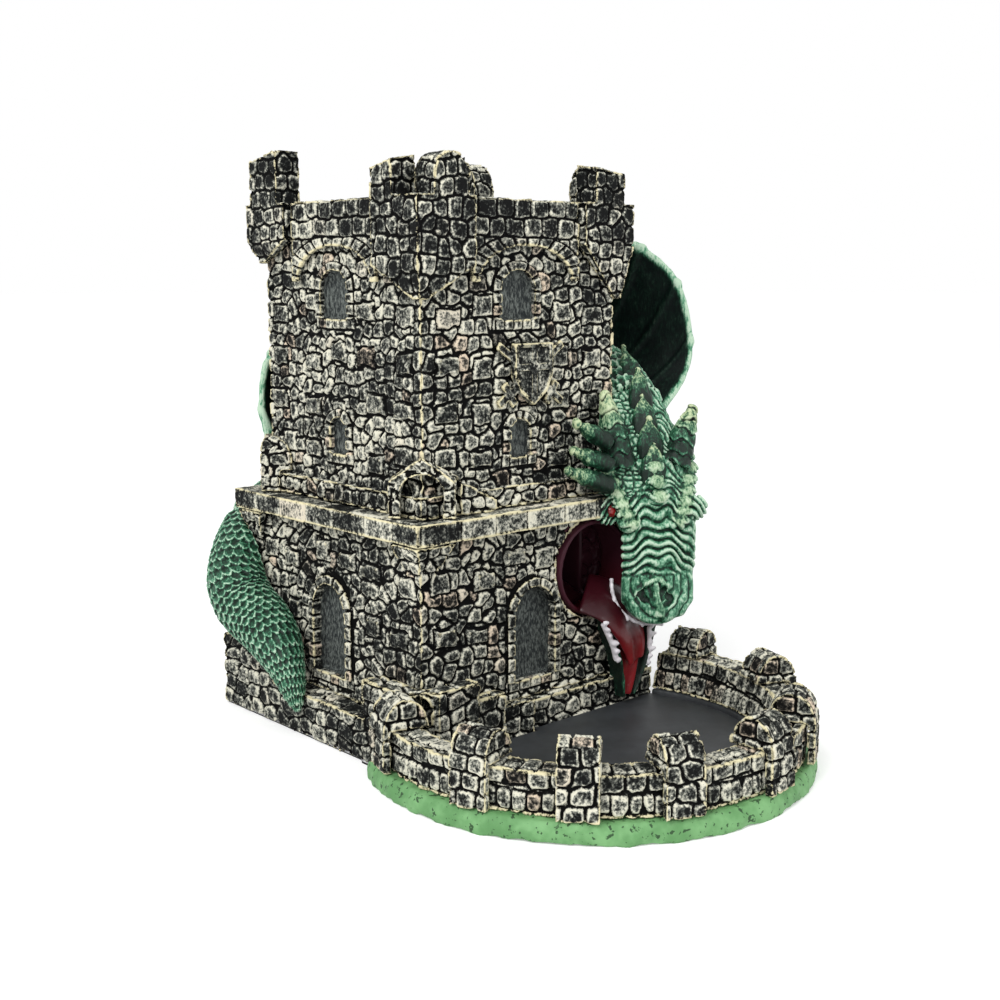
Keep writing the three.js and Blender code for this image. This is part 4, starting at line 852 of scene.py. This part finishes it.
# Dragon: its head has a frame of its own, with a side, a forward and an upward direction
HEAD_TURN = math.radians(-25.5)
SIDE = np.array([math.cos(HEAD_TURN), math.sin(HEAD_TURN), 0])
FORWARD = np.array([math.sin(HEAD_TURN), -math.cos(HEAD_TURN), 0])
UP = np.array([0, 0, 1.0])
HEAD_AXES = np.array([SIDE, FORWARD, UP])
HEAD_MIDDLE = 55.7


def on_head(side, forward, up):
    return (side + HEAD_MIDDLE) * SIDE + forward * FORWARD + up * UP


def head_frame(points):
    return points @ SIDE - HEAD_MIDDLE, points @ FORWARD, points[:, 2]


def dragon_values(skin, close=4.0, wide=1.5, brush=0.0, shade=0.0):
    """What the dragon's paint goes by: raised edges, pale brushing, yellow tips and near-black painted
    shade.
    """
    count = len(skin.points)
    skin.values = {
        "rim": np.clip(skin.bulge(3) * close + skin.bulge(12) * wide, -1, 1.5),
        "brush": np.full(count, brush),
        "tip": np.zeros(count),
        "shade": np.full(count, shade),
    }


SCALE_HEIGHT = 0.9


def scales(run, turn_length, size, seed):
    """Height of overlapping scales on a limb, from 0 at the root to 1 at the free edge."""
    v = run / size
    u = turn_length / size
    row = np.floor(v)

    def scale_of(level):
        shift = 0.5 * np.mod(level, 2) + 0.15 * (scatter(level, seed=seed) - 0.5)
        side = 2 * np.abs(np.mod(u - shift, 1) - 0.5)
        end = level + 1.0 + 0.65 * np.sqrt(np.maximum(1 - side**2, 0)) - 0.3
        return end - v

    upper = scale_of(row - 1)
    left = np.where(upper > 0, upper, scale_of(row))
    return np.clip(1 - left * 0.8, 0, 1)


def show_scaly(node, name, voxel, path, size, seed, radius, brush):
    """A limb with scales of a size in mm; radius is about that of the limb."""
    skin = Clay().node(node).skin(voxel, 4)
    run, angle = along_path(skin.points, path)
    sides = round(2 * math.pi * radius / size)
    run = run + 1.2 * (noise(skin.points, 6.0, seed + 30) - 0.5)
    lift = scales(run, angle * sides * size / (2 * math.pi), size, seed)
    skin.raise_by((lift - 0.6) * SCALE_HEIGHT)
    dragon_values(skin, brush=brush)
    show(skin, name, node, "scale")


# Middle lines of body and tail, in shares of the tower's half width and height
PATH_SCALE = np.array([WALL_HALF, WALL_HALF, CROWN_TOP])
body_path = PATH_SCALE * [
    (1.26, -0.93, 0.603), (1.36, -0.66, 0.643), (1.40, -0.28, 0.673), (1.42, 0.17, 0.675),
    (1.43, 0.67, 0.65), (1.38, 1.24, 0.607), (0.92, 1.46, 0.56), (0.39, 1.49, 0.507),
    (-0.11, 1.47, 0.447), (-0.56, 1.44, 0.393), (-0.94, 1.39, 0.353),
]
tail_path = PATH_SCALE * [
    (-0.955, 1.385, 0.346), (-1.19, 1.2, 0.303), (-1.31, 1.06, 0.259), (-1.335, 0.9, 0.223),
    (-1.335, 0.64, 0.196), (-1.36, 0.39, 0.162), (-1.365, 0.25, 0.12), (-1.37, 0.155, 0.077),
    (-1.375, 0.12, 0.053),
]

show_scaly("dragon_body", "trunk", COARSE, body_path, size=3.4, seed=7, radius=13.0, brush=-0.1)
show_scaly("dragon_tail", "tail_skin", FINE, tail_path, size=2.5, seed=9, radius=8.0, brush=-0.12)


def folds(run, width):
    """Rounded folds of a width in mm, from 0 in the creases to 1 on the ridges."""
    return np.abs(np.sin(run * np.pi / width)) ** 0.6


# Where the face ends forward at heights, its folds' widths, and places on it by side and height
FACE_HEIGHTS, FACE_FORWARD = (27, 34, 55, 66, 76, 98), (27, 30, 27, 24, 20, 6)
SNOUT_FOLD, CHEEK_FOLD, LIP_FOLD = 2.75, 2.2, 2.6
SOCKET_DEPTH = 1.2
NOSE_TOP = 42.6
NOSTRILS = ((-4.6, 38.8), (2.8, 38.2))

# Skull: bony plates over the brows and down the nose, and rings round the eyes
skull = Clay().node("dragon_head")
plates = [
    (-13.2, 24.0, 77.0), (-13.2, 26.6, 73.9), (-12.2, 28.4, 70.9), (-11.2, 29.7, 67.8),
    (-10.2, 30.8, 64.8), (-9.2, 31.6, 62.0), (-7.8, 32.2, 59.4),
]
plates += [(-side - 0.5, forward - 0.5, up) for side, forward, up in plates]
plates += [(0, 30.0, 75.4), (0.3, 31.4, 71.3), (0.8, 32.6, 66.8)]
for side, forward, up in plates:
    skull.ball(on_head(side, forward - 0.7, up), (3.1, 3.1, 2.0), HEAD_AXES)
eye_left, eye_right = (
    np.mean(np.array(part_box(f"eye_{name}"), dtype=float), axis=0) / MM for name in ("left", "right")
)
skull.ball(eye_right + 1.5 * FORWARD - 0.5 * SIDE, (3.1, 2.2, 3.4), HEAD_AXES)
skull.ball(eye_left - 1.3 * FORWARD, (4.4, 2.6, 3.9), HEAD_AXES)
head = skull.skin(FINE, 2)
away = np.linalg.norm(head.points - eye_left, axis=1)
head.raise_by(-SOCKET_DEPTH * ease(away, 3.8, 2.5))

# Folds across the snout, where there are no plates
side, forward, up = head_frame(head.points)
front = ease(forward - np.interp(up, FACE_HEIGHTS, FACE_FORWARD), 0, 3)
on_plate = np.zeros(len(head.points))
for spot in plates:
    away = np.linalg.norm(head.points - on_head(spot[0], spot[1] + 1.2, spot[2] + 0.9), axis=1)
    on_plate = np.maximum(on_plate, ease(away, 3.0, 1.4))
wave = up + 0.045 * side**2 + 0.8 * np.sin(side * 0.8 + 1.0)
wave += 2.4 * (noise(head.points, 4.5, 401) - 0.5)
snout = ease(up, 44.0, 45.5) * ease(up, 70, 64) * front * (1 - on_plate)
strength = 0.6 + 0.8 * noise(head.points, 3.5, 451)
head.raise_by(snout * (folds(wave, SNOUT_FOLD) - 0.62) * 1.9 * strength)

# Pebbles on the left cheek and creases on the right one
pebbles = blocks((1.9, 1.9, 1.5), jitter=0.9, bend=0.8, seed=411, power=3)
pebble, _, _ = pebbles(head.points, head.normals())
crumpled = folds(wave + 3.0 * noise(head.points, 3.0, 431), CHEEK_FOLD)
rest = (1 - snout) * (1 - on_plate) * ease(up, 43, 47)
right = ease(side, -4, 0)
head.raise_by(rest * right * (crumpled - 0.6))
head.raise_by(rest * (1 - right) * (ease(pebble, 0, 0.5) - 0.7) * 0.6)

# Nose: two arms and a stem between the nostrils, with folds round them
uneven = 1.6 * (noise(head.points, 2.6, 461) - 0.5)
drop = 0.11 * (side + 1) ** 2
arms = ease(np.abs(up - (NOSE_TOP - drop) + uneven), 1.7, 0.3)
arms *= ease(np.abs(side + 1.3), 6.4, 4.6)
stem_width = 0.8 + 0.11 * np.clip(43 - up, 0, 12)
stem = ease(np.abs(side + 0.9 - (42.3 - up) * 0.12 + 0.6 * uneven) / stem_width, 1.4, 0.3)
stem = stem * ease(up, 30.5, 33) * ease(up, 43.5, 41.5)
ridge = np.maximum(arms * (1 - 0.5 * ease(side, 1, 4)), stem) * front
lip = folds(np.hypot(side, (up - 42) * 0.8) + uneven, LIP_FOLD)
below = ease(up, 44.5, 43) * (1 - ridge)
head.raise_by(ridge * 1.2 + below * (lip - 0.7) * 0.9)
for hole_side, hole_up in NOSTRILS:
    pit = ease(np.hypot(side - hole_side, (up - hole_up) * 0.8), 3.0, 0.8) * front
    head.raise_by(-pit * 1.5)

dragon_values(head, close=4.0, wide=1.0, brush=0.04)
cheek = ease(side, -8, -12) * ease(up, 66, 60)
strokes = 0.35 * (noise(head.points * (1, 1, 0.4), 1.2, 441) - 0.5)
head.values["brush"] += 0.08 * on_plate - 0.35 * cheek + strokes
head.values["tip"] = np.maximum(0.1 * ridge, 0.35 * on_plate)
show(head, "skull", "dragon_head", "scale")


def show_horn(name, node, root, tip, widths, rings=1, **shape):
    """Tapering horn with grooves between its rings."""
    root, tip = np.array(root, float), np.array(tip, float)
    skin = Clay().limb([root, (root + tip) / 2, tip], widths, **shape)
    skin.ball(tip, [widths[-1]] * 3)
    skin = skin.skin(FINE, 2)
    share = ((skin.points - root) @ (tip - root)) / ((tip - root) @ (tip - root))
    tilt = share + 0.03 * np.sin(skin.points[:, 0] * 1.3) + 0.02 * np.cos(skin.points[:, 1] * 1.7)
    part = np.mod(tilt * rings, 1)
    groove = ease(np.minimum(part, 1 - part), 0.0, 0.12) if rings > 1 else np.ones(len(share))
    skin.raise_by((groove - 1) * 0.8 + 0.35 * (1 - part) - 0.2)
    skin.raise_by((noise(skin.points * (1, 1, 0.25), 1.4, 521) - 0.5) * 0.9)
    dragon_values(skin, wide=0.2)
    skin.values["brush"] = -0.5 + 0.55 * ease(share, 0.15, 0.9) + 0.2 * (1 - part) * (rings > 1)
    skin.values["tip"] = ease(share, 0.4, 0.95) * 0.7
    # Painted shade darkens the grooves between the rings
    skin.values["shade"] = (1 - groove) * 0.9
    show(skin, name, node, "pale_scale")


# Roots and tips of the horns, spines and frills, as in the CAD part
horns = {
    "left": ((31.3, -43.9, 75.0), (27.6, -40.6, 95.6)),
    "right": ((46.1, -51.1, 75.0), (53.2, -51.6, 91.0)),
}
for name, ends in horns.items():
    show_horn(f"great_horn_{name}", f"horn_{name}", *ends, (4.9, 4.3, 3.5, 1.7), rings=5)

spines = [
    ((45.0, -37.4, 96.0), (48.2, -28.6, 108.4), (3.6, 3.6, 2.6, 0.9)),
    ((43.2, -41.0, 90.0), (43.2, -39.0, 102.3), (3.6, 3.8, 2.8, 0.8)),
    ((40.7, -44.6, 84.0), (41.5, -42.5, 94.8), (3.6, 4.0, 3.0, 0.8)),
    ((38.9, -48.2, 77.2), (39.6, -47.0, 88.8), (3.6, 4.1, 3.0, 0.8)),
    ((37.8, -50.4, 70.5), (38.2, -50.1, 81.7), (3.6, 4.0, 3.0, 0.8)),
]
for number, spine in enumerate(spines, 1):
    show_horn(f"flame_{number}", f"crest_spine_{number}", *spine, across=FORWARD, flat=0.6)

cheeks = [
    ((25.9, -43.9, 82.5), (16.0, -41.3, 88.6), (3.0, 3.3, 2.9, 1.5)),
    ((25.2, -45.0, 76.5), (14.4, -41.7, 80.9), (3.0, 3.3, 2.9, 1.5)),
    ((24.8, -46.1, 70.5), (12.2, -41.9, 75.5), (3.0, 3.4, 3.1, 1.7)),
]
for number, spike in enumerate(cheeks, 1):
    show_horn(f"frill_{number}", f"cheek_spike_{number}", *spike, across=UP, flat=0.8)

for name in ("left", "right"):
    show(Clay().node(f"eye_{name}").skin(SMALL, 4), f"eyeball_{name}", f"eye_{name}", "eye")

jaw = Clay().node("lower_jaw").skin(FINE, 4)
jaw.raise_by((layered_noise(jaw.points, 3.0, 55) - 0.5) * 0.8)
# Painted shade darkens the whole jaw, which lies under the head
dragon_values(jaw, brush=-0.5, shade=0.35)
show(jaw, "jaw_skin", "lower_jaw", "scale")

# The tongue's root spreads over the lower edge of the mouth, and a groove runs down its middle
TONGUE_HEIGHTS, TONGUE_MIDDLE = (8, 17, 24, 30, 36), (31.5, 35.6, 34.4, 31.4, 27.2)
tongue = Clay().node("tongue")
root = [(22.5, -38, 38.5), (27.2, -43, 36), (31.6, -45.8, 30.3), (34.6, -46.9, 23.6), (36, -47.1, 17)]
tongue.limb(root, (8.6, 9.2, 9.0, 7.4, 4.4), across=(0.1, -0.8, 0.6), flat=0.2)
tongue = tongue.skin(FINE, 8)
middle = np.interp(tongue.points[:, 2], TONGUE_HEIGHTS, TONGUE_MIDDLE)
trough = ease(np.abs(tongue.points[:, 0] - middle), 3.4, 0.4)
tongue.raise_by(-0.7 * trough * ease(tongue.points[:, 2], 33, 26))
# Painted light: the tongue is brighter lower down, with painted shade towards the top and in its groove
painted_light = ease(tongue.points[:, 2], 35, 14) * (1 - 0.35 * trough)
show_inside(tongue, "tongue_skin", "tongue", "tongue", painted_light)

lining = Clay().node("mouth_lining").skin(COARSE, 4)
# Painted light: the lining is brighter lower down and towards the right, with painted shade elsewhere
painted_light = ease(lining.points[:, 2], 52, 31) * ease(lining.points[:, 0], 8, 26)
show_inside(lining, "throat_skin", "mouth_lining", "throat", painted_light)
chute = Clay().node("ramp_lower").skin(ROUGH)
# The chute is painted lighter towards the front, where the mouth opens, as painted light
show_inside(chute, "chute", "ramp_lower", "throat", 0.4 * ease(chute.points[:, 1], -5, -30))


def tooth_row(path, count, lean, size):
    """Uneven teeth along a low ridge."""
    row = Clay().limb(path, [0.38 * size] * 2, sides=10)
    for number, spot in enumerate(smooth_path(path, count)):
        length = size * (1.0 + 0.35 * math.sin(2.4 * number))
        tip = spot + length * np.array(lean)
        row.limb([spot, (spot + tip) / 2, tip], (0.5 * size, 0.42 * size, 0.16 * size), sides=10)
    return row.skin(TOOTH, 2)


# For each row: its path, how many teeth it has, how they lean, and their size
upper_gum = ((-11.4, 27, 42.5), (-11.2, 28, 38), (-8.8, 29, 33), (-4, 30, 29.6), (3.5, 30, 28.6))
tooth_rows = {
    "teeth_lower_left": (
        [(21.4, -46.9, 31.0), (23.2, -47.1, 27.7), (25.3, -47.3, 23.6), (26.8, -47.3, 19.2)],
        6, (0.6, -0.55, 0.1), 2.3,
    ),
    "teeth_lower_right": (
        [(41.8, -46.5, 26.4), (42.1, -46.5, 22.2), (41.7, -46.5, 18.6), (40.9, -46.5, 15.3)],
        6, (0.75, -0.6, 0.3), 1.9,
    ),
    "teeth_upper": ([on_head(*spot) for spot in upper_gum], 11, (-0.3, -0.3, -0.6), 1.5),
}
for name, row in tooth_rows.items():
    show(tooth_row(*row), f"{name}_skin", name, "tooth")

# Wings: smooth skin over fingers, with a pale edge and painted shade over the inner face
FINGER_GAP = 13.0
for name, across, through in (("right", 1, 0), ("left", 0, 1)):
    wing = Clay().node(f"wing_{name}").skin(COARSE, 4)
    inner = wing.normals()[:, through]
    edge = ease(wing.bulge(40), 0.15, 0.5)
    finger = wing.points[:, across] / FINGER_GAP + 0.04 * (wing.points[:, 2] - 100)
    finger = np.abs(np.mod(finger, 1) - 0.5) * 2
    wing.raise_by(ease(finger, 0.75, 1.0) * 0.6)
    wing.raise_by((layered_noise(wing.points, 4.0, 77) - 0.5) * 0.5)
    dragon_values(wing, close=3.0, wide=0.3)
    # Painted shade: the inner face, away from the pale edge, is painted near-black
    wing.values["shade"] = ease(-inner, -0.1, 0.4) * (1 - edge) * 0.95
    wing.values["brush"] = edge * 0.35 - 0.05
    show(wing, f"sail_{name}", f"wing_{name}", "scale", "sail")


# Camera, floor and light
CAMERA_PLACE = (-250.374, -303.520, 128.419)
CAMERA_YAW, CAMERA_PITCH = 0.734777883, 0.163422144
SENSOR, LENS = 36, 48.0
LAMP_SIZE = 0.5
FLOOR_REACH, FLOOR_GLOW = 12.0, 0.26
SKY_LIGHT, SKY_SEEN = 0.85, 1.0


def point_along(thing, place, aim):
    """Places a camera or a light, and points it in a direction."""
    thing.location = place
    thing.rotation_mode = "QUATERNION"
    thing.rotation_quaternion = aim.to_track_quat("-Z", "Y")


def set_camera():
    level = math.cos(CAMERA_PITCH)
    aim = Vector((math.sin(CAMERA_YAW) * level, math.cos(CAMERA_YAW) * level, -math.sin(CAMERA_PITCH)))
    camera = add_object("camera", bpy.data.cameras.new("camera"))
    point_along(camera, Vector(CAMERA_PLACE) * MM, aim)
    camera.data.sensor_width = SENSOR
    camera.data.lens = LENS
    camera.data.clip_start, camera.data.clip_end = 0.01, 50
    bpy.context.scene.camera = camera


def add_light(name, place, aim, power):
    data = bpy.data.lights.new(name, "AREA")
    data.shape = "DISK"
    data.size = LAMP_SIZE
    data.energy = power
    light = add_object(name, data)
    point_along(light, place, Vector(aim) - Vector(place))


def seen_directly(tree, lighting, seen):
    """A strength for what lights the object, and another for what is seen or mirrored."""
    rays = tree.nodes.new("ShaderNodeLightPath").outputs
    total = rays["Is Camera Ray"]
    for kind in ("Is Glossy Ray", "Is Transmission Ray"):
        total = tree.math("MAXIMUM", total, rays[kind])
    strength = tree.nodes.new("ShaderNodeMapRange")
    strength.inputs["To Min"].default_value = lighting
    strength.inputs["To Max"].default_value = seen
    tree.put(strength.inputs["Value"], total)
    return strength.outputs["Result"]


def set_stage():
    floor_mesh = bpy.data.meshes.new("floor")
    corners = [(x * FLOOR_REACH, y * FLOOR_REACH, 0) for x, y in ((-1, -1), (1, -1), (1, 1), (-1, 1))]
    floor_mesh.from_pydata(corners, [], [(0, 1, 2, 3)])
    floor = add_object("floor", floor_mesh)
    m = Materials("floor", roughness=0.9, specular=0.0)
    m.shader.inputs["Emission Color"].default_value = (1, 1, 1, 1)
    m.put(m.shader.inputs["Emission Strength"], seen_directly(m, 0.0, FLOOR_GLOW))
    floor_mesh.materials.append(m.finish((0.88, 0.88, 0.88)))
    world = bpy.data.worlds.new("studio")
    bpy.context.scene.world = world
    world.use_nodes = True
    tree = Nodes(world.node_tree)
    back = tree.nodes["Background"]
    back.inputs["Color"].default_value = (1, 1, 1, 1)
    tree.put(back.inputs["Strength"], seen_directly(tree, SKY_LIGHT, SKY_SEEN))
    add_light("key", (-0.8, -0.3, 0.8), (0, 0, 0.08), 7.0)
    add_light("front", (0.1, -0.9, 0.45), (0, -0.02, 0.07), 1.7)


set_camera()
set_stage()
bpy.context.scene.view_settings.view_transform = "Standard"
